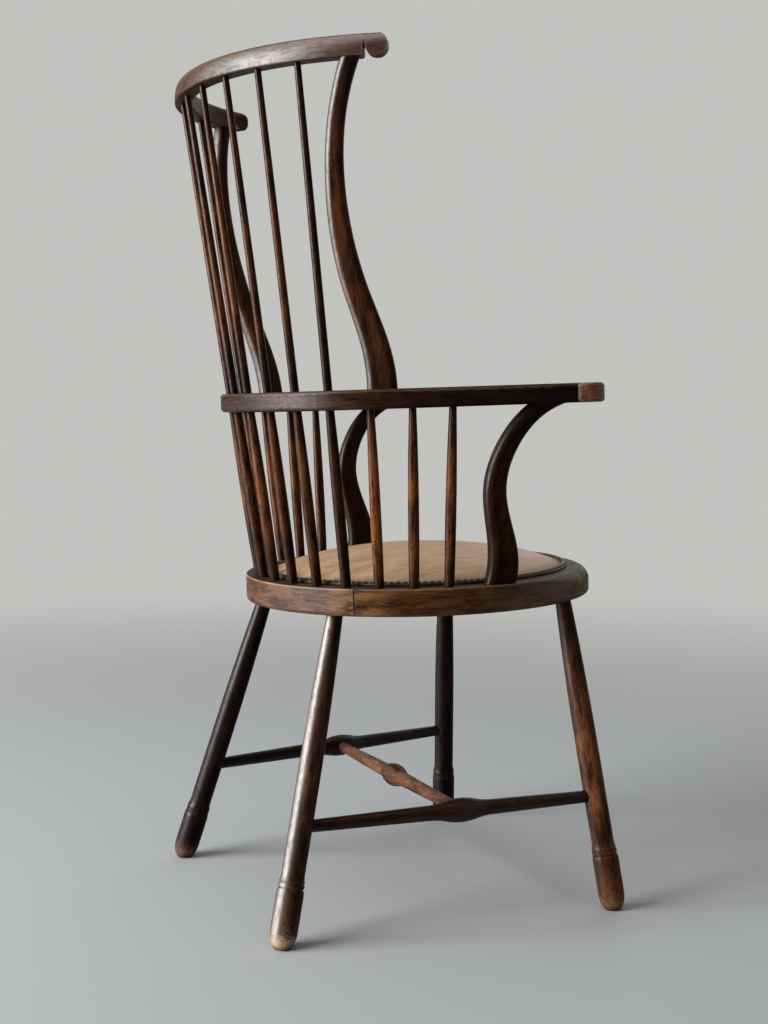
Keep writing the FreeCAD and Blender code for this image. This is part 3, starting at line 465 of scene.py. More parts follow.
def amberShare(tree, look, share, figure, wear, joint, more):
    # How far the stain is worn away: along the piece, with a ragged edge, in patches and beside a joint
    uneven = maths(tree, "SUBTRACT", (-1220, -650), wear["Patches"], 0.5)
    uneven = times(tree, (-1050, -650), uneven, look["ragged"])
    ragged = plus(tree, (-1050, -500), share, uneven)
    worn = times(tree, (-720, -500), ramp(tree, (-900, -500), ragged, look["wear"]), more)
    patches = mixColour(tree, (-1050, 0), look["patchy"], figure["Streaks"], wear["Patches"])
    broad = times(tree, (-900, 150), figure["Broad"], woodSet["broad"])
    patchy = plus(tree, (-900, 0), patches, broad)
    dots = times(tree, (-900, 300), wear["Speckle"], woodSet["speckle"])
    patchy = maths(tree, "SUBTRACT", (-760, 100), patchy, dots, clamp=True)
    amber = times(tree, (-720, -200), worn, patchy, clamp=True)
    if "joint" in look:
        beside = times(tree, (-1050, -800), joint["Beside"], wear["Patches"])
        extra = times(tree, (-900, -800), beside, look["joint"])
        amber = plus(tree, (-560, -200), amber, extra, clamp=True)
    return amber


def spotted(tree, place, spots, share):
    return spread(tree, place, spots, 0.0, 1.0, woodSet["least"] * share, share)


def bareAndSheenShare(tree, look, share, wear, rub, turned, upward, joint):
    # Bare wood on rubbed edges and on toes, but not along a joint; with it a painted highlight on upturned
    # rims and a painted sheen on the side turned to the back
    rubbed = times(tree, (-540, -400), rub["Edge"], wear["Scuffs"])
    bareAndSheen = times(tree, (-520, -560), rubbed, look["edge"])
    # Painted highlight: paler wood along upturned rims, where the window lamp's highlight falls
    if "rimHighlight" in look:
        rise = spread(tree, (-900, -2100), upward, *woodSet["rimHighlightRise"])
        fall = spread(tree, (-900, -2250), upward, *woodSet["rimHighlightFall"])
        rim = times(tree, (-720, -2100), rise, fall)
        spots = spotted(tree, (-720, -2250), wear["Scuffs"], look["rimHighlight"])
        rim = times(tree, (-540, -2100), rim, spots)
        bareAndSheen = maths(tree, "MAXIMUM", (-440, -560), bareAndSheen, rim)
    if "joint" in look:
        bareAndSheen = times(tree, (-440, -640), bareAndSheen, joint["Clear"])
    # Painted sheen: paler wood on the side turned to the back, toward the window lamp
    if "sheenSide" in look:
        side = spread(tree, (-720, -1900), turned, *woodSet["sheenSideRange"])
        spots = spotted(tree, (-720, -1800), wear["Patches"], look["sheenSide"])
        sheenSide = times(tree, (-520, -1800), side, spots)
        bareAndSheen = maths(tree, "MAXIMUM", (-340, -1800), bareAndSheen, sheenSide)
    if "tips" in look:
        tip = ramp(tree, (-900, -1500), share, look["tips"])
        dots = times(tree, (-720, -1600), wear["Speckle"], woodSet["toeSpeckle"])
        speckled = maths(tree, "SUBTRACT", (-560, -1500), tip, dots)
        toe = spread(tree, (-400, -1500), speckled, *woodSet["toe"])
        bareAndSheen = maths(tree, "MAXIMUM", (-340, -300), bareAndSheen, toe)
    return bareAndSheen


def woodSurface(tree, shader, look, figure, wear, bareAndSheen, turned):
    # A wax coat over dull wood, thinner on scuffs, and the fine relief of the grain
    scuffed = times(tree, (-160, -250), wear["Scuffs"], woodSet["scuffDull"])
    rubbed = times(tree, (-160, -400), bareAndSheen, woodSet["bareAndSheenDull"])
    dull = plus(tree, (20, -250), scuffed, rubbed)
    rough = plus(tree, (200, -250), dull, look["gloss"])
    if look["wax"]:
        feed(tree, shader, {"Coat Weight": waxWeight(tree, wear["Scuffs"], turned, look)})
    feed(tree, shader, {"Coat Roughness": look["satin"], "Coat IOR": look["lustre"]})
    fine = maths(tree, "SUBTRACT", (-340, -700), figure["Fibre"], figure["Flecks"])
    fine = plus(tree, (-160, -700), fine, figure["Streaks"])
    grainBump = putNode(tree, "ShaderNodeBump", (20, -600), {"Height": fine, **woodSet["fineRelief"]})
    sockets = {"Height": wear["Hollows"], "Normal": grainBump.outputs[0], **woodSet["hollowRelief"]}
    bump = putNode(tree, "ShaderNodeBump", (200, -600), sockets)
    feed(tree, shader, {"Roughness": rough, "Normal": bump.outputs[0]})
    feed(tree, shader, {"Specular IOR Level": woodSet["specular"]})


def makeWood(name, look, pieceFrame, length, seed, bend=None, more=1.0):
    # The piece's own frame has its foot at the origin and the grain along Z
    look = {**woodUsual, **look}
    material, tree, shader, coords = newMaterial(name)
    joint = None
    if bend:
        sockets = {"Vector": coords, "Centre": bend["centre"], "Radius": bend["radius"]}
        grain = useGroup(tree, bentGrain, (-1580, 0), sockets)["Vector"]
    else:
        grain = intoFrame(tree, (-1750, 0), coords, pieceFrame)
    if "joint" in look:
        joint = useGroup(tree, buttJoint, (-1400, -800), {"Vector": coords})
        sockets = {"Vector": grain, "Radius": seat["radius"]}
        grain = useGroup(tree, roundGrain, (-1580, 0), sockets)["Vector"]
    sockets = {"Vector": grain, "Seed": seed, "Scale": look["scale"]}
    figure = useGroup(tree, fibreFigure, (-1400, 300), sockets)
    wear = useGroup(tree, handWear, (-1400, 0), {"Vector": grain, "Seed": seed})
    rub = useGroup(tree, edgeRubAndCornerShade, (-1400, -300), {"Radius": woodSet["edgeRadius"]})
    # The side turned to the back, toward the window lamp, keeps the wax and takes the painted sheen
    facing = putNode(tree, "ShaderNodeNewGeometry", (-1600, -900)).outputs["Normal"]
    turned = vectorMaths(tree, "DOT_PRODUCT", (-1400, -900), facing, waxSet["side"]).outputs["Value"]
    upward = axes(tree, (-1400, -1050), facing)["Z"]
    along = axes(tree, (-1400, -500), grain)["Z"]
    share = maths(tree, "DIVIDE", (-1220, -500), along, length)
    amber = amberShare(tree, look, share, figure, wear, joint, more)
    bareAndSheen = bareAndSheenShare(tree, look, share, wear, rub, turned, upward, joint)

    # Colour: stain, worn amber, dark pores, bare wood with its painted rim highlight and side sheen, and
    # old polish with painted shade in the corners
    colour = mixColour(tree, (-700, 300), figure["Broad"], look["deep"], look["stain"])
    colour = mixColour(tree, (-520, 250), amber, colour, look["amber"])
    pores = times(tree, (-520, 0), figure["Flecks"], look["pores"])
    colour = mixColour(tree, (-340, 200), pores, colour, look["deep"])
    colour = mixColour(tree, (-160, 200), bareAndSheen, colour, look["bareAndSheen"])
    # Old polish and painted shade: darker in the corners, by ambient occlusion
    polishAndShade = times(tree, (-160, -100), rub["CornerPolishAndShade"], woodSet["polishAndShade"])
    colour = mixColour(tree, (20, 200), polishAndShade, colour, look["deep"])
    if "joint" in look:
        dark = spread(tree, (20, 600), upward, *woodSet["topDark"])
        colour = mixColour(tree, (100, 400), dark, colour, look["deep"])
        colour = mixColour(tree, (180, 300), joint["Line"], colour, woodSet["jointLine"])
    feed(tree, shader, {"Base Color": colour})
    woodSurface(tree, shader, look, figure, wear, bareAndSheen, turned)
    return material


endShare = 0.012


def endFrame(piece, axis):
    # Frame from the middle of a piece's low end to the middle of its high end along an axis
    spots = [v.co for v in piece.data.vertices]
    low = min(spot[axis] for spot in spots)
    high = max(spot[axis] for spot in spots)
    span = (high - low) * endShare
    first = [spot for spot in spots if spot[axis] <= low + span]
    last = [spot for spot in spots if spot[axis] >= high - span]
    start = sum(first, Vector()) / len(first)
    run = sum(last, Vector()) / len(last) - start
    return Matrix.Translation(start) @ run.to_track_quat("Z", "Y").to_matrix().to_4x4(), run.length


# Which look each wooden node takes, and the axis that its grain follows
woodGrain = [
    ("back_spindle", "spindle", 2), ("arm_spindle", "armSpindle", 2),
    ("leg_front_right", "leg", 2), ("leg_front_left", "legDark", 2),
    ("leg_rear_left", "legDark", 2), ("leg_rear_right", "legWorn", 2),
    ("comb_upright", "upright", 2), ("arm_support", "support", 2),
    ("side_stretcher_right", "stretcher", 1), ("side_stretcher_left", "stretcherDark", 1),
    ("cross_stretcher", "crossStretcher", 0),
]
ringRails = {
    "seat_rail_back": ("ringBack", 0), "seat_rail_left": ("ringSide", -90),
    "seat_rail_front": ("ringFront", 180), "seat_rail_right": ("ringSide", 90),
}
armBend = {"centre": -0.0404, "radius": 0.258, "length": 0.56}
combBend = {"centre": -0.0278, "radius": 0.31, "length": 0.33}
bentWood = {
    "arm_bow": ("bow", armBend), "hand_hold_left": ("handHold", armBend),
    "hand_hold_right": ("handHold", armBend), "comb_rail": ("comb", combBend),
}
seedStep = 0.37
seedFirst = 0.1


def dressWood(name, lookName, *shape, **options):
    dress(chair[name], makeWood("wood." + name, woodLooks[lookName], *shape, **options))


for number, name in enumerate(sorted(chair)):
    seed = seedStep * number + seedFirst
    for start, lookName, axis in woodGrain:
        if name.startswith(start):
            pieceFrame, length = endFrame(chair[name], axis)
            more = wornMore.get(name, wornUsual if "spindle" in name else 1.0)
            dressWood(name, lookName, pieceFrame, length, seed, more=more)
    if name in ringRails:
        lookName, turn = ringRails[name]
        railFrame = seatFrame @ Matrix.Rotation(math.radians(turn), 4, "Z")
        dressWood(name, lookName, railFrame, 1.0, seed)
    if name in bentWood:
        lookName, bend = bentWood[name]
        dressWood(name, lookName, Matrix(), bend["length"], seed, bend=bend)
print("wood dressed")

# Dowels inside the ring's joints, plain beech
dowelLook = {
    "deep": (0.42, 0.28, 0.17, 1), "stain": (0.6, 0.43, 0.28, 1), "amber": (0.66, 0.48, 0.31, 1),
    "bareAndSheen": (0.7, 0.53, 0.36, 1), "edge": 0.2, "gloss": 0.6, "wax": 0.0, "satin": 0.5, "patchy": 0.2,
    "pores": 0.4, "wear": [(0, 0.2), (1, 0.2)],
}
dress(chair["seat_dowels"], makeWood("dowelBeech", dowelLook, Matrix(), 0.1, 3.3))

# Antique brass nails: dark lacquer, brighter where the crown has been rubbed
nailLook = {
    "lacquer": (0.055, 0.038, 0.018, 1), "brass": (0.36, 0.26, 0.12, 1), "metal": 0.85,
    "rub": (330.0, 3.0, 0.6), "fine": (1600.0, 2.0, 0.6), "crown": (0.75, 1.0), "rubbed": (0.35, 0.65),
    "rough": (0.2, 0.8, 0.38, 0.58), "relief": {"Strength": 0.2, "Distance": 0.0004},
}


def makeNailBrass(look):
    material, tree, shader, coords = newMaterial("antiqueBrass")
    rub = noise(tree, (-600, 0), coords, *look["rub"])
    fine = noise(tree, (-600, -200), coords, *look["fine"])
    facing = putNode(tree, "ShaderNodeNewGeometry", (-800, 200)).outputs["Normal"]
    upward = axes(tree, (-600, 200), facing)["Z"]
    crown = spread(tree, (-400, 200), upward, *look["crown"])
    rubbed = spread(tree, (-400, 0), rub, *look["rubbed"])
    share = times(tree, (-200, 0), crown, rubbed)
    colour = mixColour(tree, (0, 100), share, look["lacquer"], look["brass"])
    rough = spread(tree, (0, -100), fine, *look["rough"])
    bump = putNode(tree, "ShaderNodeBump", (0, -300), {"Height": fine, **look["relief"]})
    feed(tree, shader, {"Base Color": colour, "Roughness": rough, "Normal": bump.outputs[0]})
    feed(tree, shader, {"Metallic": look["metal"]})
    return material


dress(chair["seat_nails"], makeNailBrass(nailLook))
print("nails dressed")


# Hide: mottled dye, streaks from front to back, a pebbled grain and fine creases
hideRows = {
    "Mottle": ((1, 0.5, 1), (30.0, 6.0, 0.65, 0.6), (0.34, 0.68)),
    "Streaks": ((1, 0.14, 1), (150.0, 5.0, 0.68, 0.4), (0.36, 0.68)),
}
hideSet = {
    "folds": (48.0, 3.0, 0.55, 1.4), "cell": (0.0, 0.22), "crease": (0.0, 0.02), "paleShare": 0.55,
    "creaseShare": 0.3, "rimLeast": 0.25, "rimShare": 0.75, "roughShare": 0.15, "pebbleDepth": 0.35,
    "foldDepth": 0.6, "relief": {"Strength": 0.3, "Distance": 0.0008}, "specular": 0.4,
}


def buildHideGrain():
    tree, source, sink = newGroup(
        "hideGrain", [("Vector", "Vector"), ("Size", "Float")], [*hideRows, "Pebble", "Creases"])
    noiseRows(tree, source["Vector"], hideRows, sink)
    cells = putNode(tree, "ShaderNodeTexVoronoi", (-400, -100), feature="DISTANCE_TO_EDGE")
    feed(tree, cells, {"Vector": source["Vector"], "Scale": source["Size"]})
    folds = noise(tree, (-400, -300), source["Vector"], *hideSet["folds"])
    ridge = maths(tree, "ABSOLUTE", (0, -300), maths(tree, "SUBTRACT", (-200, -300), folds, 0.5))
    tree.links.new(spread(tree, (200, -100), cells.outputs["Distance"], *hideSet["cell"]), sink["Pebble"])
    tree.links.new(spread(tree, (200, -300), ridge, *hideSet["crease"]), sink["Creases"])
    return tree


hideGrain = buildHideGrain()


def makeHide(name, look):
    material, tree, shader, coords = newMaterial(name)
    place = intoFrame(tree, (-1300, 0), coords, seatFrame)
    hide = useGroup(tree, hideGrain, (-1000, 0), {"Vector": place, "Size": look["grainSize"]})
    flat = vectorMaths(tree, "MULTIPLY", (-1100, -400), place, (1, 1, 0)).outputs[0]
    reach = vectorMaths(tree, "LENGTH", (-900, -400), flat).outputs["Value"]
    rim = spread(tree, (-700, -400), reach, *look["rim"])
    colour = mixColour(tree, (-600, 200), hide["Mottle"], look["shade"], look["tan"])
    pale = times(tree, (-600, 0), hide["Streaks"], hideSet["paleShare"])
    colour = mixColour(tree, (-420, 200), pale, colour, look["pale"])
    crease = maths(tree, "SUBTRACT", (-600, -150), 1.0, hide["Creases"])
    crease = times(tree, (-420, -150), crease, hideSet["creaseShare"])
    colour = mixColour(tree, (-240, 200), crease, colour, look["shade"])
    uneven = plus(tree, (-600, -500), hide["Mottle"], hideSet["rimLeast"])
    rimShare = times(tree, (-420, -400), rim, uneven)
    rimShare = times(tree, (-240, -400), rimShare, hideSet["rimShare"], clamp=True)
    colour = mixColour(tree, (-60, 200), rimShare, colour, look["stainRing"])
    rough = times(tree, (-240, -100), hide["Mottle"], hideSet["roughShare"])
    rough = plus(tree, (-60, -100), rough, look["gloss"])
    pebble = times(tree, (-420, -600), hide["Pebble"], hideSet["pebbleDepth"])
    folds = times(tree, (-420, -750), hide["Creases"], hideSet["foldDepth"])
    height = plus(tree, (-240, -600), pebble, folds)
    bump = putNode(tree, "ShaderNodeBump", (-60, -600), {"Height": height, **hideSet["relief"]})
    feed(tree, shader, {"Base Color": colour, "Roughness": rough, "Normal": bump.outputs[0]})
    feed(tree, shader, {"Specular IOR Level": hideSet["specular"]})
    return material


def choose(piece):
    bpy.ops.object.select_all(action="DESELECT")
    piece.select_set(True)
    bpy.context.view_layer.objects.active = piece


weldReach = 0.00002


def finishPiece(piece, slotName, *nodes):
    # Welds and smooths a piece made in the ring's plane, sets it in the seat and ties it to the frame
    choose(piece)
    bpy.ops.object.mode_set(mode="EDIT")
    bpy.ops.mesh.select_all(action="SELECT")
    bpy.ops.mesh.remove_doubles(threshold=weldReach)
    bpy.ops.mesh.normals_make_consistent(inside=False)
    bpy.ops.object.mode_set(mode="OBJECT")
    bpy.ops.object.shade_smooth()
    piece.data.transform(seatFrame)
    piece.data.update()
    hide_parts(*nodes)
    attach(piece, "root")
    piece.select_set(False)


def makeDisc(name, radius, corners):
    # Flat disc with an even grid of faces
    bpy.ops.mesh.primitive_circle_add(vertices=corners, radius=radius)
    disc = bpy.context.object
    disc.name = name
    bpy.ops.object.mode_set(mode="EDIT")
    bpy.ops.mesh.select_all(action="SELECT")
    bpy.ops.mesh.fill_grid(span=corners // 4)
    bpy.ops.object.mode_set(mode="OBJECT")
    return disc


def applyLast(piece):
    choose(piece)
    bpy.ops.object.modifier_apply(modifier=piece.modifiers[-1].name)


def thicken(piece, thickness):
    choose(piece)
    bpy.ops.object.modifier_add(type="SOLIDIFY")
    piece.modifiers[-1].thickness = thickness
    piece.modifiers[-1].offset = 0.0
    applyLast(piece)


# Pad: a leather disc over its stuffing, blown up as cloth that each nail holds down, closed underneath
padSet = {
    "crown": 0.0325, "shoulder": (0.122, 0.0255), "rim": (0.2056, 0.0032), "under": 0.0012,
    "pressure": 4.0, "frames": 20, "held": 0.0008, "most": 0.004, "pull": 0.0012, "pullReach": 0.02,
    "sat": 0.0018, "satGrain": 14, "satSlice": 0.3, "skirt": 0.001,
}
padHide = {
    "shade": (0.33, 0.18, 0.084, 1), "tan": (0.53, 0.32, 0.168, 1), "pale": (0.62, 0.42, 0.255, 1),
    "stainRing": (0.12, 0.06, 0.028, 1), "grainSize": 700.0, "gloss": 0.45, "rim": (0.185, 0.207),
}


def padHeight(reach):
    # Two arcs: crown to shoulder, shoulder to rim
    shoulderReach, shoulderHeight = padSet["shoulder"]
    rimReach, rimHeight = padSet["rim"]
    fall = padSet["crown"] - shoulderHeight
    if reach <= shoulderReach:
        return padSet["crown"] - fall * (reach / shoulderReach) ** 2
    slope = 2 * fall / shoulderReach
    step = reach - shoulderReach
    span = rimReach - shoulderReach
    bend = (shoulderHeight - slope * span - rimHeight) / span ** 2
    return shoulderHeight - slope * step - bend * step ** 2


def nailHold(spot):
    # 1 at a nail and 0 halfway to the next
    return 0.5 + 0.5 * math.cos(math.atan2(spot.x, spot.y) * seat["nailCount"])


def swellPad(pad):
    rimReach = padSet["rim"][0]
    start = [v.co.copy() for v in pad.data.vertices]
    held = [v.index for v in pad.data.vertices if v.co.xy.length > rimReach - padSet["held"]]
    nails = pad.vertex_groups.new(name="nails")
    nails.add(held, 1.0, "REPLACE")
    choose(pad)
    bpy.ops.object.modifier_add(type="CLOTH")
    cloth = pad.modifiers[-1]
    cloth.settings.vertex_group_mass = "nails"
    cloth.settings.use_pressure = True
    cloth.settings.uniform_pressure_force = padSet["pressure"]
    cloth.settings.effector_weights.gravity = 0.0
    cloth.collision_settings.use_collision = False
    for step in range(1, padSet["frames"] + 1):
        scene.frame_set(step)
    applyLast(pad)
    scene.frame_set(1)
    far = 0.0
    for vertex, spot in zip(pad.data.vertices, start):
        move = vertex.co - spot
        far = max(far, move.length)
        if move.length > padSet["most"]:
            vertex.co = spot + move * (padSet["most"] / move.length)
    pad.vertex_groups.clear()
    print("pad swelled by %.1f mm at most" % (1000 * far))


def makePad():
    rimReach = padSet["rim"][0]
    pad = makeDisc("leatherPad", rimReach, 2 * seat["nailCount"])
    for vertex in pad.data.vertices:
        vertex.co.z = padHeight(vertex.co.xy.length)
    swellPad(pad)
    choose(pad)
    bpy.ops.object.modifier_add(type="SUBSURF")
    pad.modifiers[-1].levels = 1
    pad.modifiers[-1].render_levels = 1
    applyLast(pad)
    for vertex in pad.data.vertices:
        reach = vertex.co.xy.length
        near = max(0.0, 1 - (rimReach - reach) / padSet["pullReach"])
        spot = Vector((vertex.co.x, vertex.co.y, padSet["satSlice"])) * padSet["satGrain"]
        sat = field.noise(spot) * max(0.0, 1 - reach / rimReach)
        vertex.co.z += sat * padSet["sat"] - padSet["pull"] * nailHold(vertex.co) * near ** 2
    choose(pad)
    bpy.ops.object.mode_set(mode="EDIT")
    bpy.ops.mesh.select_mode(type="EDGE")
    bpy.ops.mesh.select_all(action="DESELECT")
    bpy.ops.mesh.select_non_manifold(extend=False)
    bpy.ops.mesh.extrude_region_move(TRANSFORM_OT_translate={"value": (0, 0, -padSet["skirt"])})
    bpy.ops.transform.resize(value=(1, 1, 0), center_override=(0, 0, padSet["under"]))
    bpy.ops.mesh.edge_face_add()
    bpy.ops.object.mode_set(mode="OBJECT")
    return pad


pad = makePad()
finishPiece(pad, "seat_leather", "seat_leather", "seat_stuffing")
dress(pad, makeHide("tanHide", padHide))
print("pad made, %d faces" % len(pad.data.polygons))

# Band: a thin strip of leather under the nails, with rounded edges
bandSet = {"inner": 0.2052, "outer": 0.2155, "low": 0.0001, "top": 0.0035, "round": 0.0011, "soft": 0.3}
bandHide = {
    "shade": (0.03, 0.014, 0.008, 1), "tan": (0.08, 0.036, 0.016, 1), "pale": (0.15, 0.075, 0.035, 1),
    "stainRing": (0.015, 0.008, 0.005, 1), "grainSize": 900.0, "gloss": 0.5, "rim": (0.209, 0.217),
}


def makeBand():
    inner = bandSet["inner"]
    outer = bandSet["outer"]
    edge = bandSet["round"]
    top = bandSet["top"]
    soft = edge * bandSet["soft"]
    points = [
        (inner, bandSet["low"]), (inner, top - edge), (inner + soft, top - soft), (inner + edge, top),
        (outer - edge, top), (outer - soft, top - soft), (outer, top - edge), (outer, bandSet["low"]),
    ]
    bpy.ops.mesh.primitive_plane_add(size=0.01)
    band = bpy.context.object
    band.name = "nailBand"
    bpy.ops.object.mode_set(mode="EDIT")
    bpy.ops.mesh.select_mode(type="VERT")
    bpy.ops.mesh.select_all(action="SELECT")
    bpy.ops.mesh.merge(type="CENTER")
    bpy.ops.transform.translate(value=(points[0][0], 0, points[0][1]))
    for (oldReach, oldHeight), (reach, height) in zip(points, points[1:] + points[:1]):
        step = (reach - oldReach, 0, height - oldHeight)
        bpy.ops.mesh.extrude_vertices_move(TRANSFORM_OT_translate={"value": step})
    bpy.ops.mesh.select_all(action="SELECT")
    bpy.ops.mesh.spin(steps=2 * seat["nailCount"], angle=math.tau, center=(0, 0, 0), axis=(0, 0, 1))
    bpy.ops.object.mode_set(mode="OBJECT")
    return band


band = makeBand()
finishPiece(band, "banding_leather", "leather_banding")
dress(band, makeHide("bandHide", bandHide))
print("band made, %d faces" % len(band.data.polygons))


weaveSet = {
    "slub": (420.0, 4.0, 0.7), "juteSlub": (500.0, 4.0, 0.7), "juteDrawn": (0.2, 1, 1), "rib": 0.0065,
    "over": (0.0, 0.8), "ridge": (-0.8, 0.8), "slubRange": (0.35, 0.65), "oldShare": 0.5,
    "rough": (0.0, 1.0, 0.75, 0.95), "relief": {"Strength": 0.6, "Distance": 0.0006}, "specular": 0.2,
}


def newWeave(name):
    tree, source, sink = newGroup(name, [("Vector", "Vector"), ("Pitch", "Float")], ["Height", "Slub"])
    split = axes(tree, (-700, 0), source["Vector"])
    return tree, source, sink, split


def linkWeave(tree, sink, height, limits, slub):
    tree.links.new(spread(tree, (300, 100), height, *limits), sink["Height"])
    tree.links.new(spread(tree, (300, -200), slub, *weaveSet["slubRange"]), sink["Slub"])
    return tree


# Woven cloth: threads over and under each other, along X and Y of the vector
def buildThreads():
    tree, source, sink, split = newWeave("threads")
    turns = maths(tree, "DIVIDE", (-700, -300), math.pi, source["Pitch"])
    first = maths(tree, "SINE", (-300, 150), times(tree, (-500, 150), split["X"], turns))
    second = maths(tree, "SINE", (-300, -50), times(tree, (-500, -50), split["Y"], turns))
    over = times(tree, (-100, 50), first, second)
    height = maths(tree, "ABSOLUTE", (100, 100), over)
    slub = noise(tree, (-300, -300), source["Vector"], *weaveSet["slub"])
    return linkWeave(tree, sink, height, weaveSet["over"], slub)


# Herringbone of jute webbing, its ridges turning at each rib across the strap
def buildHerringbone():
    tree, source, sink, split = newWeave("herringbone")
    rib = maths(tree, "PINGPONG", (-500, -100), split["Y"], weaveSet["rib"])
    run = plus(tree, (-300, 0), split["X"], rib)
    turns = maths(tree, "DIVIDE", (-500, -300), math.tau, source["Pitch"])
    ridge = maths(tree, "SINE", (60, 0), times(tree, (-120, 0), run, turns))
    drawn = stretch(tree, (-500, -450), source["Vector"], weaveSet["juteDrawn"])
    slub = noise(tree, (-300, -300), drawn, *weaveSet["juteSlub"])
    return linkWeave(tree, sink, ridge, weaveSet["ridge"], slub)


threads = buildThreads()
herringbone = buildHerringbone()


def makeWeave(name, group, look, pieceFrame):
    material, tree, shader, coords = newMaterial(name)
    place = intoFrame(tree, (-1300, 0), coords, pieceFrame)
    weave = useGroup(tree, group, (-1000, 0), {"Vector": place, "Pitch": look["pitch"]})
    # Darker in the low gaps between the threads: painted shade
    colour = mixColour(tree, (-600, 200), weave["Height"], look["gap"], look["thread"])
    slub = times(tree, (-600, 0), weave["Slub"], weaveSet["oldShare"])
    colour = mixColour(tree, (-400, 200), slub, colour, look["old"])
    sockets = {"Height": weave["Height"], **weaveSet["relief"]}
    bump = putNode(tree, "ShaderNodeBump", (-300, -300), sockets)
    rough = spread(tree, (-300, -100), weave["Slub"], *weaveSet["rough"])
    feed(tree, shader, {"Base Color": colour, "Roughness": rough, "Normal": bump.outputs[0]})
    feed(tree, shader, {"Specular IOR Level": weaveSet["specular"]})
    return material


# Webbing: three straps each way, woven through each other and let into the ring's rebate
webbingSet = {
    "reach": 0.2028, "half": 0.026, "spacing": 0.10004, "thick": 0.0016, "middle": -0.002, "rise": 0.001,
    "steep": 1.5, "ease": 0.024, "grid": (96, 8),
}
jute = {
    "gap": (0.1, 0.068, 0.038, 1), "thread": (0.42, 0.3, 0.175, 1), "old": (0.2, 0.135, 0.075, 1),
    "pitch": 0.0024,
}


def strapHeight(along, weave, end):
    # Over and under the crossing straps, then level in the rebate
    spacing = webbingSet["spacing"]
    inside = min(abs(along), spacing)
    swing = weave * max(-1.0, min(1.0, webbingSet["steep"] * math.cos(math.pi * inside / spacing)))
    level = math.sin(swing * math.pi / 2)
    past = min(1.0, max(0.0, abs(along) - spacing - webbingSet["half"]) / webbingSet["ease"])
    level += (end - level) * past * past * (3 - 2 * past)
    return webbingSet["middle"] + webbingSet["rise"] * level


def makeStraps(name, turn, weaves, end):
    straps = []
    long, wide = webbingSet["grid"]
    for row, weave in enumerate(weaves):
        bpy.ops.mesh.primitive_grid_add(x_subdivisions=long, y_subdivisions=wide, size=2)
        strap = bpy.context.object
        for vertex in strap.data.vertices:
            side = vertex.co.y * webbingSet["half"] + (row - 1) * webbingSet["spacing"]
            along = vertex.co.x * math.sqrt(webbingSet["reach"] ** 2 - side ** 2)
            vertex.co = (along, side, strapHeight(along, weave, end))
        thicken(strap, webbingSet["thick"])
        straps.append(strap)
    choose(straps[0])
    for strap in straps:
        strap.select_set(True)
    bpy.ops.object.join()
    piece = bpy.context.object
    piece.name = name
    piece.data.transform(Matrix.Rotation(turn, 4, "Z"))
    return piece


acrossStraps = makeStraps("webbingAcross", 0.0, (-1, 1, -1), -1)
finishPiece(acrossStraps, "jute_webbing", "webbing_across")
dress(acrossStraps, makeWeave("juteAcross", herringbone, jute, seatFrame))
alongStraps = makeStraps("webbingAlong", math.pi / 2, (1, -1, 1), 1)
finishPiece(alongStraps, "jute_webbing", "webbing_along")
turned = seatFrame @ Matrix.Rotation(math.pi / 2, 4, "Z")
dress(alongStraps, makeWeave("juteAlong", herringbone, jute, turned))
print("webbing made")

# Hessian over the webbing, hanging a little between the straps
hessianSet = {
    "radius": 0.2036, "corners": 160, "height": 0.00062, "sag": 0.0002, "open": 0.185, "ease": 4,
    "thick": 0.0006,
}
hessianCloth = {
    "gap": (0.09, 0.062, 0.036, 1), "thread": (0.4, 0.29, 0.17, 1), "old": (0.24, 0.165, 0.095, 1),
    "pitch": 0.0014,
}


def makeHessian():
    cloth = makeDisc("hessianCover", hessianSet["radius"], hessianSet["corners"])
    for vertex in cloth.data.vertices:
        waves = [math.sin(math.pi * side / webbingSet["spacing"]) ** 2 for side in vertex.co.xy]
        inside = max(0.0, 1 - vertex.co.xy.length / hessianSet["open"])
        loose = min(1.0, hessianSet["ease"] * inside)
        vertex.co.z = hessianSet["height"] - hessianSet["sag"] * waves[0] * waves[1] * loose
    thicken(cloth, hessianSet["thick"])
    return cloth


hessian = makeHessian()
finishPiece(hessian, "hessian", "seat_hessian")
dress(hessian, makeWeave("hessianWeave", threads, hessianCloth, seatFrame))
print("hessian made")

# Plain pale floor that runs out into a plain pale background
stageSet = {
    "radius": 9.0, "corners": 96, "floor": (0.43, 0.445, 0.45, 1), "rough": 0.7, "specular": 0.2,
    "seen": (0.54, 0.545, 0.525, 1), "fade": (0.9, 3.6), "sky": (0.8, 0.81, 0.8, 1), "strength": 0.14,
}


def seenRays(tree, place):
    left, high = place
    path = putNode(tree, "ShaderNodeLightPath", place).outputs
    bounced = maths(tree, "MAXIMUM", (left + 180, high), path["Is Glossy Ray"], path["Is Transmission Ray"])
    return maths(tree, "MAXIMUM", (left + 360, high), path["Is Camera Ray"], bounced)


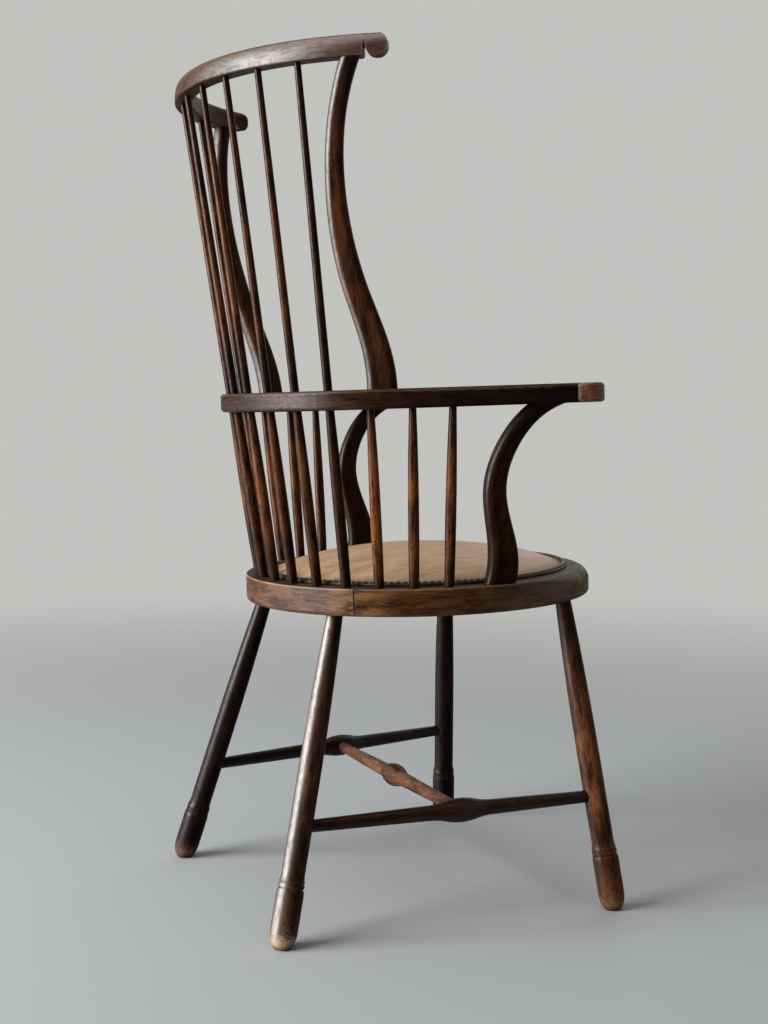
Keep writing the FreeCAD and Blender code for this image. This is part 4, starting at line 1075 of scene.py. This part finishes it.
bpy.ops.mesh.primitive_circle_add(
    vertices=stageSet["corners"], radius=stageSet["radius"], fill_type="NGON")
floor = bpy.context.object
floor.name = "paleFloor"
floorMaterial, tree, shader, coords = newMaterial("palePlaster")
feed(tree, shader, {"Base Color": stageSet["floor"], "Roughness": stageSet["rough"]})
feed(tree, shader, {"Specular IOR Level": stageSet["specular"]})
reach = vectorMaths(tree, "LENGTH", (-900, -400), coords).outputs["Value"]
far = spread(tree, (-700, -400), reach, *stageSet["fade"])
share = times(tree, (-100, -400), far, seenRays(tree, (-700, -600)))
glow = putNode(tree, "ShaderNodeEmission", (-100, -600), {"Color": stageSet["seen"]})
blend = putNode(tree, "ShaderNodeMixShader", (400, 0), {0: share, 1: shader.outputs[0], 2: glow.outputs[0]})
tree.links.new(blend.outputs[0], tree.nodes["Material Output"].inputs["Surface"])
dress(floor, floorMaterial)

world = bpy.data.worlds.new("studio")
world.use_nodes = True
scene.world = world
tree = world.node_tree
sky = tree.nodes["Background"]
feed(tree, sky, {"Color": stageSet["sky"], "Strength": stageSet["strength"]})
seen = putNode(tree, "ShaderNodeBackground", (0, -200), {"Color": stageSet["seen"]})
blend = putNode(tree, "ShaderNodeMixShader", (300, 0))
feed(tree, blend, {0: seenRays(tree, (-400, 200)), 1: sky.outputs[0], 2: seen.outputs[0]})
tree.links.new(blend.outputs[0], tree.nodes["World Output"].inputs["Surface"])

# Area lamps aimed at the middle of the chair: name, place, size and power
lampAim = Vector((0, 0, 0.6))
lampSet = [
    ("window", (0.15, 4.0, 1.75), (2.8, 3.0), 330.0),
    ("fill", (-2.4, -1.8, 1.8), (2.2, 2.2), 3.0),
    ("front", (1.9, -2.4, 1.8), (2.2, 2.2), 15.0),
    ("top", (0.1, 0.4, 3.2), (2.4, 2.4), 23.0),
]
for lampName, place, size, power in lampSet:
    bpy.ops.object.light_add(type="AREA", location=place)
    lamp = bpy.context.object
    lamp.name = lampName
    lamp.data.shape = "RECTANGLE"
    lamp.data.size, lamp.data.size_y = size
    lamp.data.energy = power
    aim = lampAim - Vector(place)
    lamp.rotation_euler = aim.to_track_quat("-Z", "Y").to_euler()
print("floor and light set")
